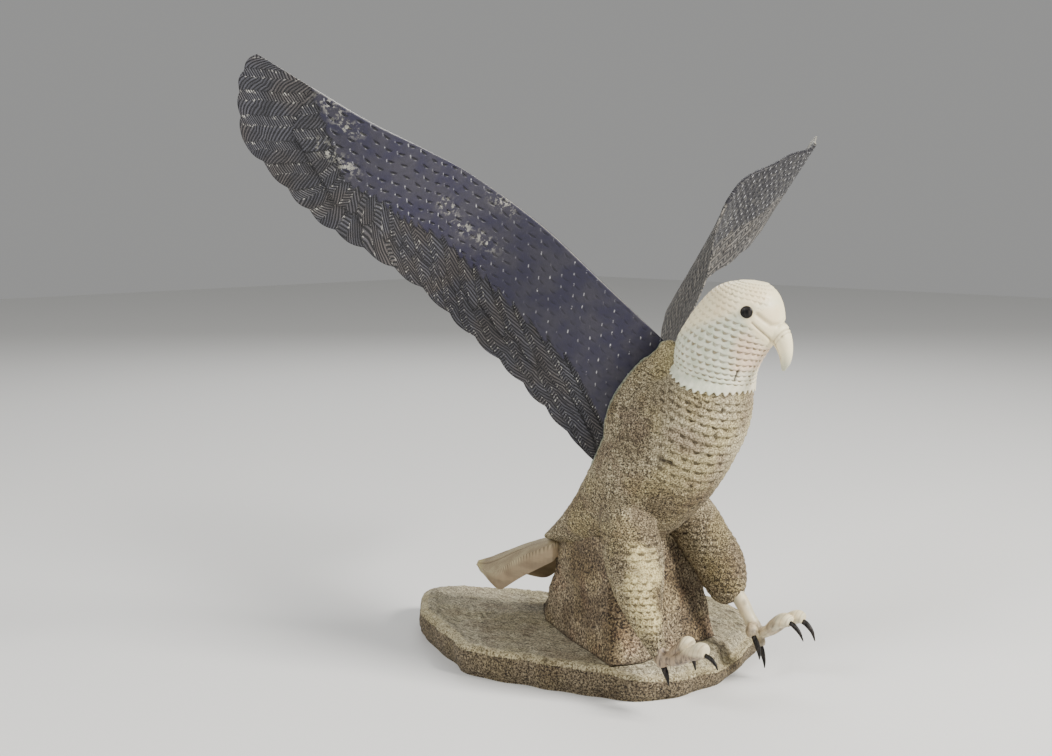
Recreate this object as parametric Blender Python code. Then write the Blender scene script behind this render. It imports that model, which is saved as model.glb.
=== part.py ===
import math

import bmesh
import bpy
from mathutils import Matrix, Vector

# whalebone eagle on its plinth: sizes in millimetres, scaled to metres at the end
# the bird faces minus Y, its left side is plus X, the plinth stands on Z = 0
MM = 0.001
GAP = 0.3

PLINTH_HEIGHT = 22.0
PLINTH_FRONT_HEIGHT = 11.0
PLINTH_RADII = [138, 132, 124, 118, 118, 145, 172, 150, 122, 105, 100, 88,
                80, 76, 77, 86, 96, 101, 101, 102, 107, 116, 128, 137]

# torso stations: y, z, lean in degrees, half width, back depth, front depth
TORSO = [
    (-108, 215.5, 15, 26.8, 27.0, 23.4),
    (-104, 204, 24, 33.0, 34.0, 25.5),
    (-97, 191, 33, 38.0, 46.0, 30.0),
    (-84, 175, 39, 41.5, 50.0, 34.5),
    (-69, 159, 43, 44.0, 46.0, 38.5),
    (-52, 144, 46, 43.5, 38.0, 41.0),
    (-35, 129, 49, 41.0, 29.0, 39.0),
    (-17, 115, 53, 37.0, 20.5, 31.0),
    (2, 103, 58, 31.5, 12.5, 20.0),
    (18, 94.5, 64, 25.0, 7.5, 11.0),
    (29, 89.5, 68, 19.0, 4.5, 5.0),
    (37, 87, 70, 12.0, 2.0, 2.0),
]
# shoulder stations behind the neck, where the wings are let in
SHOULDER = [(13, -64, 168, 12), (14, -60, 186, 18), (13, -61, 204, 17), (10.5, -66, 220, 13),
            (8.5, -69, 230, 8), (8, -70, 235.5, 3.5)]

# head stations: forward, z, lean, half width, back depth, front depth
HEAD_TURN = 14.0
HEAD_FOOT_Y = -118.0
HEAD = [
    (-10.0, 216.5, 15, 28.2, 28.4, 25.0),
    (-10.0, 224.0, 16, 28.0, 28.2, 27.0),
    (-8.0, 233.5, 18, 27.0, 27.8, 29.5),
    (-2.5, 243.5, 20, 25.4, 26.8, 30.5),
    (3.5, 252.0, 23, 24.0, 26.0, 30.5),
    (9.5, 260.0, 23, 22.6, 25.0, 29.0),
    (13.0, 267.5, 18, 19.8, 21.6, 24.0),
    (15.0, 273.5, 12, 15.0, 16.0, 17.4),
    (15.8, 277.2, 6, 8.5, 8.8, 9.6),
]
TEETH = 34
TOOTH_DEPTH = 2.0
SIDE_DIP = 3.5
SKIRT = 1.2

# beak stations: forward, z, half width, half depth, pitch of the ring in degrees
BEAK = [
    (24.0, 247.5, 11.0, 11.0, 0),
    (30.0, 247.3, 9.2, 9.4, 16),
    (34.2, 244.0, 7.4, 7.6, 40),
    (37.0, 238.5, 5.8, 6.0, 62),
    (38.4, 232.0, 4.2, 4.5, 82),
    (38.2, 225.8, 2.7, 3.0, 97),
    (36.9, 221.0, 0.9, 0.9, 106),
]
EYE_RADIUS = 4.0
EYE_DOME = 1.8
EYE_SET = 3.0
# place of the eyes on the head: share of the way up it, and degrees forward of its side
EYE_ALONG = 0.667
EYE_ROUND = 20.0

# wing stations, for the right wing with x outward: front edge, then rear edge
WING_FRONT = [(8, -70, 236), (54, -57, 275), (91, -38, 312), (138, -25, 343),
              (180, -28, 358), (227, -24, 376), (278, 4, 410)]
WING_REAR = [(36, -26, 158), (76, 3, 212), (112, 22, 250), (150, 10.5, 272),
             (188, 6, 292), (232, 14, 319), (279, 19, 362)]
LEFT_DROP = 30.0
WING_THICKNESS = 3.0
WING_BULGE = 7.0
# places along the span where one feather's edge ends and the next begins, root to tip
NOTCHES = [0.0, 0.045, 0.095, 0.148, 0.208, 0.275, 0.362, 0.508, 0.628, 0.718, 0.788, 0.85, 0.9, 0.955, 1.0]
SCALLOP_DEPTH = 2.4
TIP_SCALLOPS = 4
# share of the span let into the body, two columns of the grid, and how far in it goes
ROOT = 2 / 42
ROOT_FRONT_IN = (-3.5, 0.5, -6)
ROOT_REAR_IN = (-6, -3, -6)

# tail stations: y, z of the ridge, half width, thickness
TAIL = [(24, 89, 16, 13), (42, 83.5, 20, 15), (65, 75, 23, 15), (88, 65, 24, 13), (104, 58, 21, 9), (111, 55, 12, 6)]
TAIL_ARCH = 11.0

# thigh stations: x outward, y, z, radius
THIGHS = {
    -1: [(22, -48, 134, 15), (29, -57, 122, 20), (36, -67, 108, 20.5), (42, -75, 92, 19.5), (45, -81, 77, 17),
         (46.5, -86, 65, 13.5), (47.5, -91, 55, 10), (48.5, -97, 46, 7.2), (49, -101, 40, 5.4)],
    1: [(20, -46, 132, 15), (27, -54, 121, 17.5), (34, -62, 108, 18.5), (40, -70, 93, 18.2), (44.5, -77, 80, 18),
        (46, -82, 68, 16.5), (47, -85, 58, 13), (47.4, -87, 52.5, 9), (47.6, -88, 50, 4.5)],
}
SHANKS = {
    -1: [(48.5, -97, 50, 3.8), (49, -101, 44, 3.8), (49.5, -104, 38.5, 4.0), (49.5, -106, 34.5, 3.8)],
    1: [(47.5, -89, 61, 4.8), (48, -96, 52, 5.0), (48.5, -102, 43, 4.6), (49, -106.5, 36, 4.9), (49, -108.5, 31.5, 4.2)],
}
# toe stations: inner rear, outer rear, inner front, outer front
TOES = {
    -1: [
        [(49, -104, 37, 4.0), (46, -101, 34.5, 4.0), (43.5, -98.5, 32, 4.2), (42.5, -98, 29.5, 3.0)],
        [(49.5, -105, 38, 3.8), (50.5, -106, 35, 3.9), (51, -107, 32.5, 3.7), (51, -107.5, 30.5, 2.8)],
        [(49.5, -106, 36, 4.0), (48, -111, 37, 4.0), (46.5, -118, 43, 4.6), (46, -123, 48, 5.0), (46, -126, 47, 4.0)],
        [(49.5, -106, 36, 4.0), (50.5, -117, 37, 3.8), (52, -130, 44, 4.4), (52, -138.5, 48, 5.4), (52, -142.5, 47.5, 4.2)],
    ],
    1: [
        [(49, -105, 36, 4.0), (44.5, -108, 36.5, 4.2), (41, -110.5, 35, 4.6), (40.5, -112.5, 32.5, 3.4)],
        [(49, -106, 35, 4.0), (50, -109, 30, 3.8), (50, -111, 26, 3.6), (50, -111.5, 23.5, 2.6)],
        [(49, -106, 33, 4.4), (48, -116, 34.5, 3.8), (47, -126, 43, 4.4), (47, -133, 47, 4.8), (47, -137.5, 46, 3.6)],
        [(49, -106, 33, 4.4), (52, -117, 35, 3.8), (55, -128, 43.5, 4.2), (56, -137, 48, 4.8), (56.5, -141.5, 47, 3.6)],
    ],
}
# claw stations for each toe, tips last
CLAWS = {
    -1: [
        [(42.5, -98, 30.5, 1.6), (42, -99, 28, 1.7), (41.7, -100, 25.6, 1.2), (41.5, -100.6, 23.4, 0.3)],
        [(51, -106.5, 33, 1.8), (51, -109, 28.5, 2.0), (51, -111, 24, 1.4), (51, -112.5, 19.5, 0.3)],
        [(46, -124, 45.5, 1.6), (46, -127, 41, 1.8), (45.8, -128.5, 37, 1.2), (45.5, -129.5, 32, 0.3)],
        [(52, -142, 46, 1.4), (52, -146.5, 44.5, 1.5), (52, -150, 41.8, 1.0), (52, -152, 38.5, 0.3)],
    ],
    1: [
        [(40.5, -111.5, 33.5, 1.7), (40, -115, 28, 1.9), (40.2, -117, 22, 1.3), (41, -117, 17, 0.3)],
        [(50, -111.2, 25, 1.5), (50, -113, 19, 1.7), (50, -114.5, 13.5, 1.1), (50, -115, 8.5, 0.3)],
        [(47, -136, 46, 1.5), (47, -140.5, 44, 1.7), (47, -145, 40, 1.2), (47, -148, 35, 0.3)],
        [(56.5, -138.5, 46, 1.6), (57, -143.5, 44, 1.9), (57.2, -148, 39.5, 1.3), (57.2, -150.5, 33.5, 0.3)],
    ],
}

# perch block: foot corners and head corners, going round
BLOCK_FOOT = [(-54, -64), (-34, -76), (50, -71), (57, -32), (46, 52), (26, 73), (-6, 42), (-34, -18)]
BLOCK_HEAD = [(-34, -44), (-24, -54), (50, -54), (54, -30), (34, 20), (18, 22), (-12, 20), (-28, -16)]
BLOCK_TOP = 100.0

# fineness of the shapes that are melted together: size of a cell, and triangles kept
BODY_CELL = 1.6
BODY_TRIANGLES = 1700
FOOT_CELL = 0.7
FOOT_TRIANGLES = 420


def clear_scene():
    for item in list(bpy.data.objects):
        bpy.data.objects.remove(item, do_unlink=True)


def spline(stations, t):
    """value of a smooth curve through the stations at t from 0 to 1"""
    span = len(stations) - 1
    place = min(max(t, 0.0), 1.0) * span
    i = min(int(place), span - 1)
    f = place - i
    p1 = stations[i]
    p2 = stations[i + 1]
    p0 = stations[i - 1] if i > 0 else [2 * a - b for a, b in zip(p1, p2)]
    p3 = stations[i + 2] if i + 2 <= span else [2 * b - a for a, b in zip(p1, p2)]
    return [
        0.5 * (2 * b + (c - a) * f + (2 * a - 5 * b + 4 * c - d) * f * f + (3 * b - a - 3 * c + d) * f ** 3)
        for a, b, c, d in zip(p0, p1, p2, p3)
    ]


def skin(name, cols, rows, place, thickness=0.0):
    """a grid whose points are put by place(u, w), welded where they meet"""
    bm = bmesh.new()
    bmesh.ops.create_grid(bm, x_segments=cols, y_segments=rows, size=0.5)
    for vert in bm.verts:
        u = min(max(vert.co.x + 0.5, 0.0), 1.0)
        w = min(max(vert.co.y + 0.5, 0.0), 1.0)
        vert.co = Vector(place(u, w)) * MM
    bmesh.ops.remove_doubles(bm, verts=bm.verts, dist=0.00001)
    bmesh.ops.recalc_face_normals(bm, faces=bm.faces)
    if thickness > 0:
        bmesh.ops.solidify(bm, geom=bm.faces[:], thickness=thickness * MM)
        bmesh.ops.recalc_face_normals(bm, faces=bm.faces)
    mesh = bpy.data.meshes.new(name)
    bm.to_mesh(mesh)
    bm.free()
    item = bpy.data.objects.new(name, mesh)
    bpy.context.collection.objects.link(item)
    return item


def capped(rows, w):
    """ring parameter for a row, and whether the row is an end centre"""
    row = round(w * rows)
    if row == 0:
        return 0.0, True
    if row == rows:
        return 1.0, True
    return (row - 1) / (rows - 2), False


def tube(name, stations, sides, rows):
    """round tube through stations of x, y, z, radius"""
    run = Vector(stations[-1][:3]) - Vector(stations[0][:3])
    least = min(range(3), key=lambda i: abs(run[i]))
    across = Vector([1.0 if i == least else 0.0 for i in range(3)])

    def place(u, w):
        t, end = capped(rows, w)
        x, y, z, r = spline(stations, t)
        centre = Vector((x, y, z))
        if t < 1:
            way = Vector(spline(stations, t + 0.02)[:3]) - centre
        else:
            way = centre - Vector(spline(stations, t - 0.02)[:3])
        way.normalize()
        side = way.cross(across).normalized()
        up = side.cross(way)
        if end:
            return centre
        a = 2 * math.pi * u
        return centre + (side * math.cos(a) + up * math.sin(a)) * r
    return skin(name, sides, rows, place)


def torso_point(t, angle, grow=0.0):
    y, z, lean, half, back, front = spline(TORSO, t)
    lean = math.radians(lean)
    s = math.sin(angle)
    depth = (back if s > 0 else front) + grow
    across = (half + grow) * math.cos(angle)
    outward = depth * s
    return Vector((across, y + outward * math.cos(lean), z + outward * math.sin(lean)))


def torso(name, sides, rows):
    def place(u, w):
        t, end = capped(rows, w)
        if end:
            y, z = spline(TORSO, t)[:2]
            return Vector((0, y, z))
        return torso_point(t, 2 * math.pi * u)
    return skin(name, sides, rows, place)


def collar(name, sides):
    """ring of space that the skirt of the head needs round the top of the body"""
    heights = [0.0, 0.02, 0.045, 0.075]

    def place(u, w):
        row = round(w * 8) % 8
        angle = 2 * math.pi * u
        inner = row < 4
        t = heights[row] if inner else heights[7 - row]
        point = torso_point(t, angle, 0 if inner else SKIRT + 2 * GAP)
        return point + Vector((0, -0.26, 0.97)) * (GAP if t == 0 else 0)
    return skin(name, sides, 8, place)


def head_axes(turn):
    turn = math.radians(turn)
    forward = Vector((math.sin(turn), -math.cos(turn), 0))
    side = Vector((math.cos(turn), math.sin(turn), 0))
    return forward, side


def head_point(t, angle):
    ahead, z, lean, half, back, front = spline(HEAD, t)
    forward, side = head_axes(HEAD_TURN * min(1.0, t * 1.6))
    lean = math.radians(lean)
    s = math.sin(angle)
    outward = (back if s > 0 else front) * s
    rear = -forward * math.cos(lean) + Vector((0, 0, math.sin(lean)))
    return Vector((0, HEAD_FOOT_Y, z)) + forward * ahead + side * half * math.cos(angle) + rear * outward


def head_shell(name, sides, rows):
    """neck and skull, with a toothed skirt hanging over the top of the body"""
    under = 5

    def place(u, w):
        row = round(w * rows)
        angle = 2 * math.pi * u
        tooth = TOOTH_DEPTH * (0.5 - 0.5 * math.cos(angle * TEETH))
        drop = 0.010 + 0.0078 * (tooth + SIDE_DIP * math.cos(angle) ** 2)
        if row == 0:
            y, z = spline(TORSO, 0)[:2]
            return Vector((0, y, z)) + Vector((0, -0.37, 0.93)) * GAP
        if row == 1:
            return torso_point(0, angle, GAP) + Vector((0, -0.37, 0.93)) * GAP
        if row == 2:
            return torso_point(drop / 2, angle, 1.5 * GAP)
        if row == 3:
            return torso_point(drop, angle, 1.5 * GAP)
        if row == 4:
            return torso_point(drop, angle, GAP + SKIRT)
        t = (row - under) / (rows - under - 1)
        if row == rows:
            last = spline(HEAD, 1)
            forward = head_axes(HEAD_TURN)[0]
            return Vector((0, HEAD_FOOT_Y, last[1] + 1.0)) + forward * (last[0] + 0.4)
        return head_point(t, angle)
    return skin(name, sides, rows, place)


def beak(name, sides, rows):
    forward, side = head_axes(HEAD_TURN)

    def place(u, w):
        t, end = capped(rows, w)
        ahead, z, half, deep, pitch = spline(BEAK, t)
        centre = Vector((0, HEAD_FOOT_Y, z)) + forward * ahead
        if end:
            return centre
        a = 2 * math.pi * u
        pitch = math.radians(pitch)
        up = forward * math.sin(pitch) + Vector((0, 0, math.cos(pitch)))
        return centre + side * half * math.cos(a) + up * deep * math.sin(a)
    return skin(name, sides, rows, place)


def eye(name, mark):
    """low dome let into the side of the skull; mark is -1 for the right eye"""
    round_side = math.radians(-EYE_ROUND)
    spot = head_point(EYE_ALONG, round_side if mark > 0 else math.pi - round_side)
    forward, side = head_axes(HEAD_TURN)
    out = (side * mark + forward * 0.25).normalized()
    along = out.cross(Vector((0, 0, 1))).normalized()
    up = along.cross(out)

    def place(u, w):
        row = round(w * 6)
        a = 2 * math.pi * u
        radius = [0, 1.0, 1.0, 0.93, 0.66, 0.3, 0][row] * EYE_RADIUS
        lift = [-EYE_SET, -EYE_SET, 0.2 * EYE_DOME, 0.5 * EYE_DOME, 0.8 * EYE_DOME, 0.95 * EYE_DOME, EYE_DOME][row]
        return spot + out * lift + (along * math.cos(a) + up * math.sin(a)) * radius
    return skin(name, 10, 6, place)


def feather_place(share):
    """place along the span for a share that gives every feather the same number of columns"""
    if share <= 0:
        return share
    feathers = len(NOTCHES) - 1
    k = min(int(share * feathers), feathers - 1)
    f = share * feathers - k
    return NOTCHES[k] + f * (NOTCHES[k + 1] - NOTCHES[k])


def scallop(u):
    """0 at each notch of the rear edge, 1 in the middle of each feather"""
    for start, stop in zip(NOTCHES, NOTCHES[1:]):
        if start <= u < stop:
            return math.sin(math.pi * (u - start) / (stop - start))
    return 0.0


def wing_point(u, w, mark, drop):
    """u runs from root to tip, w from the front edge to the rear edge"""
    front = Vector(spline(WING_FRONT, max(u, 0.0)))
    rear = Vector(spline(WING_REAR, max(u, 0.0)))
    if u < 0:
        front += Vector(ROOT_FRONT_IN) * (-u / ROOT)
        rear += Vector(ROOT_REAR_IN) * (-u / ROOT)
    chord = rear - front
    wave = scallop(u)
    point = front + chord * w
    point += chord.normalized() * (wave - 0.6) * SCALLOP_DEPTH * min(1.0, 12 * max(u, 0)) * max(0.0, w * 3 - 2)
    ahead = Vector(spline(WING_FRONT, 1.0)) - Vector(spline(WING_FRONT, 0.93))
    edge = abs(math.sin(math.pi * TIP_SCALLOPS * w)) * SCALLOP_DEPTH * 0.6
    point += ahead.normalized() * (WING_BULGE * math.sin(math.pi * w ** 0.75) ** 1.2 + edge) * max(0.0, u * 5 - 4) ** 2
    point.z -= drop * (1 - w) * max(0.0, (u - 0.72) / 0.28) ** 1.5
    return Vector((point.x * mark, point.y, point.z))


def wing(name, mark, cols, rows, thick):
    drop = LEFT_DROP if mark > 0 else 0.0
    item = skin(name, cols, rows, lambda u, w: wing_point(feather_place(u * (1 + ROOT) - ROOT), w, mark, drop))
    middle_thicken(item, thick)
    return item


def middle_thicken(item, thick):
    """gives a sheet its thickness, half to each side"""
    bm = bmesh.new()
    bm.from_mesh(item.data)
    bm.normal_update()
    moves = {vert: vert.normal.copy() for vert in bm.verts}
    for vert, normal in moves.items():
        vert.co += normal * thick * 0.5 * MM
    bmesh.ops.solidify(bm, geom=bm.faces[:], thickness=thick * MM)
    bmesh.ops.recalc_face_normals(bm, faces=bm.faces)
    bm.to_mesh(item.data)
    bm.free()


def tail(name, cols, rows):
    def place(u, w):
        t, end = capped(rows, w)
        y, z, half, thick = spline(TAIL, t)
        if end:
            return Vector((0, y, z - thick / 2))
        a = 2 * math.pi * u
        c, s = math.cos(a), math.sin(a)
        x = half * math.copysign(min(1.0, abs(c) * 1.2), c)
        lift = thick / 2 * math.copysign(min(1.0, abs(s) * 2.0), s)
        return Vector((x, y, z - thick / 2 + lift - TAIL_ARCH * (x / 24) ** 2))
    return skin(name, cols, rows, place)


def plinth_radius(angle):
    step = 2 * math.pi / len(PLINTH_RADII)
    place = (angle / step) % len(PLINTH_RADII)
    i = int(place)
    f = place - i
    n = len(PLINTH_RADII)
    ring = [(PLINTH_RADII[(i + k) % n],) for k in (-1, 0, 1, 2)]
    smooth = spline(ring, (1 + f) / 3)[0]
    return smooth + 1.2 * math.sin(9 * angle + 1) + 0.8 * math.sin(17 * angle)


def plinth(name, sides):
    rows = 9
    front = math.radians(-68)

    def place(u, w):
        row = round(w * rows)
        a = 2 * math.pi * u
        r = plinth_radius(a)
        away = abs((a - front + math.pi) % (2 * math.pi) - math.pi)
        low = max(0.0, 1 - away / math.radians(62)) ** 0.6
        rim = PLINTH_HEIGHT - (PLINTH_HEIGHT - PLINTH_FRONT_HEIGHT) * low
        rise = PLINTH_HEIGHT
        radius, z = [
            (0, 0), (0.965 * r, 0), (r - 0.6, rim * 0.2), (r + 0.6, rim * 0.5), (r, rim * 0.8),
            (r - 2.2, rim - 0.6), (r - 5, rim), (r * 0.9, rim + (rise - rim) * 0.75), (r * 0.8, rise), (0, rise)][row]
        return Vector((radius * math.cos(a), radius * math.sin(a), z))
    return skin(name, sides, rows, place)


def block(name, sides, rows):
    def place(u, w):
        t, end = capped(rows, w)
        z = PLINTH_HEIGHT + GAP + (BLOCK_TOP - PLINTH_HEIGHT - GAP) * t
        foot = loop_point(BLOCK_FOOT, u)
        head = loop_point(BLOCK_HEAD, u)
        mid = 0.5 * (foot + head)
        if end:
            ring = BLOCK_FOOT if t == 0 else BLOCK_HEAD
            x = sum(p[0] for p in ring) / len(ring)
            y = sum(p[1] for p in ring) / len(ring)
            return Vector((x, y, z))
        point = foot.lerp(head, t ** 0.9)
        turn = 2 * math.pi * u
        shake = 1.0 * math.sin(5 * t * math.pi + 2 * turn) * math.sin(math.pi * t) + 0.8 * math.sin(5 * turn + 9 * t)
        out = mid.normalized() * shake
        return Vector((point.x + out.x, point.y + out.y, z))
    return skin(name, sides, rows, place)


def loop_point(corners, u):
    n = len(corners)
    place = (u % 1.0) * n
    i = int(place)
    f = place - i
    a = Vector(corners[i % n])
    b = Vector(corners[(i + 1) % n])
    return a.lerp(b, f)


def boolean(item, other, operation, keep=False):
    mod = item.modifiers.new(operation.lower(), "BOOLEAN")
    mod.operation = operation
    mod.solver = "EXACT"
    mod.object = other
    bake(item)
    if not keep:
        bpy.data.objects.remove(other, do_unlink=True)


def join(items):
    """first item keeps its name and takes the meshes of the others"""
    bm = bmesh.new()
    for item in items:
        bm.from_mesh(item.data)
    bm.to_mesh(items[0].data)
    bm.free()
    for item in items[1:]:
        bpy.data.objects.remove(item, do_unlink=True)
    return items[0]


def grown(item, gap):
    """copy of a closed shape, a little larger all round"""
    bm = bmesh.new()
    bm.from_mesh(item.data)
    bm.normal_update()
    moves = {vert: vert.normal * vert.calc_shell_factor() for vert in bm.verts}
    for vert, way in moves.items():
        vert.co += way * gap * MM
    mesh = bpy.data.meshes.new("grown")
    bm.to_mesh(mesh)
    bm.free()
    copy = bpy.data.objects.new("grown", mesh)
    bpy.context.collection.objects.link(copy)
    return copy


def seat(target, piece):
    """cuts the place where a piece is let in, a gap wider than the piece"""
    boolean(target, grown(piece, GAP), "DIFFERENCE")


def melt(item, voxel, faces, smooth=2):
    """joined closed shapes become one skin of about so many triangles"""
    mod = item.modifiers.new("melt", "REMESH")
    mod.mode = "VOXEL"
    mod.voxel_size = voxel * MM
    if smooth:
        mod = item.modifiers.new("smooth", "SMOOTH")
        mod.iterations = smooth
    bake(item)
    count = sum(len(face.vertices) - 2 for face in item.data.polygons)
    mod = item.modifiers.new("fewer", "DECIMATE")
    mod.ratio = min(1.0, faces / count)
    mod.use_collapse_triangulate = True
    bake(item)


def bake(item):
    bpy.context.view_layer.update()
    graph = bpy.context.evaluated_depsgraph_get()
    mesh = bpy.data.meshes.new_from_object(item.evaluated_get(graph))
    item.modifiers.clear()
    item.data = mesh


def tidy_mesh(item, short=0.02):
    """welds the slivers that the cuts leave and splits every face into triangles"""
    bm = bmesh.new()
    bm.from_mesh(item.data)
    bmesh.ops.remove_doubles(bm, verts=bm.verts, dist=short * MM)
    bmesh.ops.triangulate(bm, faces=bm.faces[:])
    bmesh.ops.recalc_face_normals(bm, faces=bm.faces)
    bm.to_mesh(item.data)
    bm.free()


def mirrored(stations, mark):
    return [(x * mark, y, z, r) for x, y, z, r in stations]


def material(name, colour, rough, metal=0.0):
    mat = bpy.data.materials.new(name)
    mat.use_nodes = True
    node = mat.node_tree.nodes["Principled BSDF"]
    node.inputs["Base Color"].default_value = (*colour, 1)
    node.inputs["Roughness"].default_value = rough
    node.inputs["Metallic"].default_value = metal
    return mat


def paint(item, mat):
    item.data.materials.clear()
    item.data.materials.append(mat)


def build_foot(side_name, mark, mats, body):
    shank = mirrored(SHANKS[mark], mark)
    parts = [tube(side_name + "_foot", shank, 16, 10)]
    parts += [tube("toe", mirrored(stations, mark), 16, 10) for stations in TOES[mark]]
    foot = join(parts)
    melt(foot, FOOT_CELL, FOOT_TRIANGLES)
    seat(body, foot)
    for k, stations in enumerate(CLAWS[mark]):
        stations = mirrored(stations, mark)
        claw = tube(f"{side_name}_claw_{k + 1}", stations, 6, 6)
        seat(foot, claw)
        paint(claw, mats["baleen"])
    tidy_mesh(foot)
    paint(foot, mats["ivory"])


def build():
    clear_scene()
    mats = {
        "bone": material("whalebone", (0.30, 0.26, 0.19), 0.85),
        "plinth_bone": material("plinth_whalebone", (0.33, 0.30, 0.23), 0.9),
        "block_bone": material("block_whalebone", (0.28, 0.24, 0.18), 0.9),
        "ivory": material("ivory", (0.82, 0.77, 0.66), 0.35),
        "baleen": material("baleen", (0.03, 0.03, 0.035), 0.4),
        "tail_ivory": material("tail_ivory", (0.42, 0.34, 0.22), 0.5),
    }

    slab = plinth("plinth", 48)
    paint(slab, mats["plinth_bone"])

    parts = [torso("body", 72, 50)]
    for mark in (-1, 1):
        parts.append(tube("thigh", mirrored(THIGHS[mark], mark), 32, 24))
        parts.append(tube("shoulder", mirrored(SHOULDER, mark), 28, 16))
    body = join(parts)
    melt(body, BODY_CELL, BODY_TRIANGLES, 4)
    perch = block("perch_block", 20, 6)
    seat(perch, body)
    boolean(body, collar("collar", 34), "DIFFERENCE")

    for mark, name in ((-1, "right_wing"), (1, "left_wing")):
        plate = wing(name, mark, 44, 4, WING_THICKNESS)
        paint(plate, mats["baleen"])
        seat(body, plate)

    plate = tail("tail", 14, 9)
    paint(plate, mats["tail_ivory"])
    for target in (body, perch):
        seat(target, plate)

    for mark, name in ((-1, "right"), (1, "left")):
        build_foot(name, mark, mats, body)

    skull = head_shell("head", 68, 13)
    boolean(skull, beak("beak", 12, 10), "UNION")
    for mark, name in ((-1, "right_eye"), (1, "left_eye")):
        inlay = eye(name, mark)
        paint(inlay, mats["baleen"])
        seat(skull, inlay)

    tidy_mesh(skull)
    tidy_mesh(body)
    tidy_mesh(perch)
    paint(skull, mats["ivory"])
    paint(body, mats["bone"])
    paint(perch, mats["block_bone"])


build()
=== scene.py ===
import math

import bmesh
import bpy
import numpy as np
from mathutils import Matrix, Vector, noise
from mathutils.kdtree import KDTree


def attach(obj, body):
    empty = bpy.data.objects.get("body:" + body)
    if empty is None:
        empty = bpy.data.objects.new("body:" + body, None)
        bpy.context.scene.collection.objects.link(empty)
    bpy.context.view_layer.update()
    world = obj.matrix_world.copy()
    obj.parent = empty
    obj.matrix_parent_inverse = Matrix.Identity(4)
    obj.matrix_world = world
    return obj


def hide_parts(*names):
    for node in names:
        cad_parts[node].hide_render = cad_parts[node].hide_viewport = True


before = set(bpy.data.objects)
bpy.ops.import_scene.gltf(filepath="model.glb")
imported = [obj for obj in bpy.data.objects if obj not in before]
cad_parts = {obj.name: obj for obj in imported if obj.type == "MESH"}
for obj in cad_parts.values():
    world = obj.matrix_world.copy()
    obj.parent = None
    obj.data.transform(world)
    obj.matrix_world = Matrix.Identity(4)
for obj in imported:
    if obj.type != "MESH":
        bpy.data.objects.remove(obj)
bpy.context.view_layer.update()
print("stage: frame loaded")

mm = 0.001
tau = 2 * math.pi


def cubic(a, b, c, d, f):
    # smooth curve from b to c, with a before them and d after
    return 0.5 * (2 * b + (c - a) * f + (2 * a - 5 * b + 4 * c - d) * f * f + (3 * b - a - 3 * c + d) * f ** 3)


def alongCurve(stations, t):
    # smooth curve through the stations, at shares t from 0 to 1
    stations = np.array(stations, float)
    span = len(stations) - 1
    place = np.clip(t, 0, 1) * span
    i = np.minimum(place.astype(int), span - 1)
    f = (place - i)[..., None]
    line = np.vstack([2 * stations[0] - stations[1], stations, 2 * stations[-1] - stations[-2]])
    return cubic(line[i], line[i + 1], line[i + 2], line[i + 3], f)


def ramp(x, low, high):
    # 0 below low, 1 above high, smooth between
    s = np.clip((x - low) / (high - low), 0, 1)
    return s * s * (3 - 2 * s)


def bump(x, middle, wide):
    return np.exp(-((x - middle) / wide) ** 2)


def unit(v):
    return v / np.maximum(np.linalg.norm(v, axis=-1, keepdims=True), 1e-9)


def away(points, spot):
    return np.linalg.norm(points - spot, axis=1)


def turns(angle, count):
    # columns round a piece, counted from its back
    return ((angle - math.pi / 2) % tau) / tau * count


def ringRound(side, up, u):
    return side * np.cos(tau * u)[:, None] + up * np.sin(tau * u)[:, None]


def cloud(points, size, seed=0.0):
    # soft noise from -1 to 1, for points in millimetres and blobs of about this size
    shift = Vector((seed * 17.3, seed * 9.1, seed * 5.7))
    return np.array([noise.noise(Vector(p) / size + shift) for p in points.tolist()])


def newPiece(name, mesh):
    mesh.shade_smooth()
    item = bpy.data.objects.new(name, mesh)
    bpy.context.collection.objects.link(item)
    return item


def readPoints(mesh):
    flat = np.empty(len(mesh.vertices) * 3)
    mesh.vertices.foreach_get("co", flat)
    return flat.reshape(-1, 3) / mm


def writePoints(mesh, points):
    mesh.vertices.foreach_set("co", (points * mm).astype(np.float32).ravel())
    mesh.update()


def writeValues(mesh, values, periods=None):
    # one number for each point becomes an attribute, two become a UV map that may close on itself
    corners = np.empty(len(mesh.loops), dtype=np.int32)
    mesh.loops.foreach_get("vertex_index", corners)
    totals = np.empty(len(mesh.polygons), dtype=np.int32)
    mesh.polygons.foreach_get("loop_total", totals)
    starts = np.repeat(np.cumsum(totals) - totals, totals)
    for key, value in values.items():
        value = np.asarray(value, dtype=np.float32)
        if value.ndim == 2:
            spread = value[corners]
            period = (periods or {}).get(key)
            if period:
                spread[:, 0] += period * np.round((spread[starts, 0] - spread[:, 0]) / period)
            mesh.uv_layers.new(name=key).uv.foreach_set("vector", spread.ravel())
        else:
            mesh.attributes.new(key, "FLOAT", "POINT").data.foreach_set("value", value)


def gridPiece(name, cols, rows, place):
    # a grid whose points are put by place(u, w) in millimetres, welded where they meet
    bm = bmesh.new()
    bmesh.ops.create_grid(bm, x_segments=cols, y_segments=rows, size=0.5)
    mesh = bpy.data.meshes.new(name)
    bm.to_mesh(mesh)
    bm.free()
    flat = readPoints(mesh) * mm
    points, values = place(np.clip(flat[:, 0] + 0.5, 0, 1), np.clip(flat[:, 1] + 0.5, 0, 1))
    writePoints(mesh, points)
    writeValues(mesh, values)
    bm = bmesh.new()
    bm.from_mesh(mesh)
    bmesh.ops.remove_doubles(bm, verts=bm.verts, dist=0.000004)
    bmesh.ops.recalc_face_normals(bm, faces=bm.faces)
    bm.to_mesh(mesh)
    bm.free()
    return newPiece(name, mesh)


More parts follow.
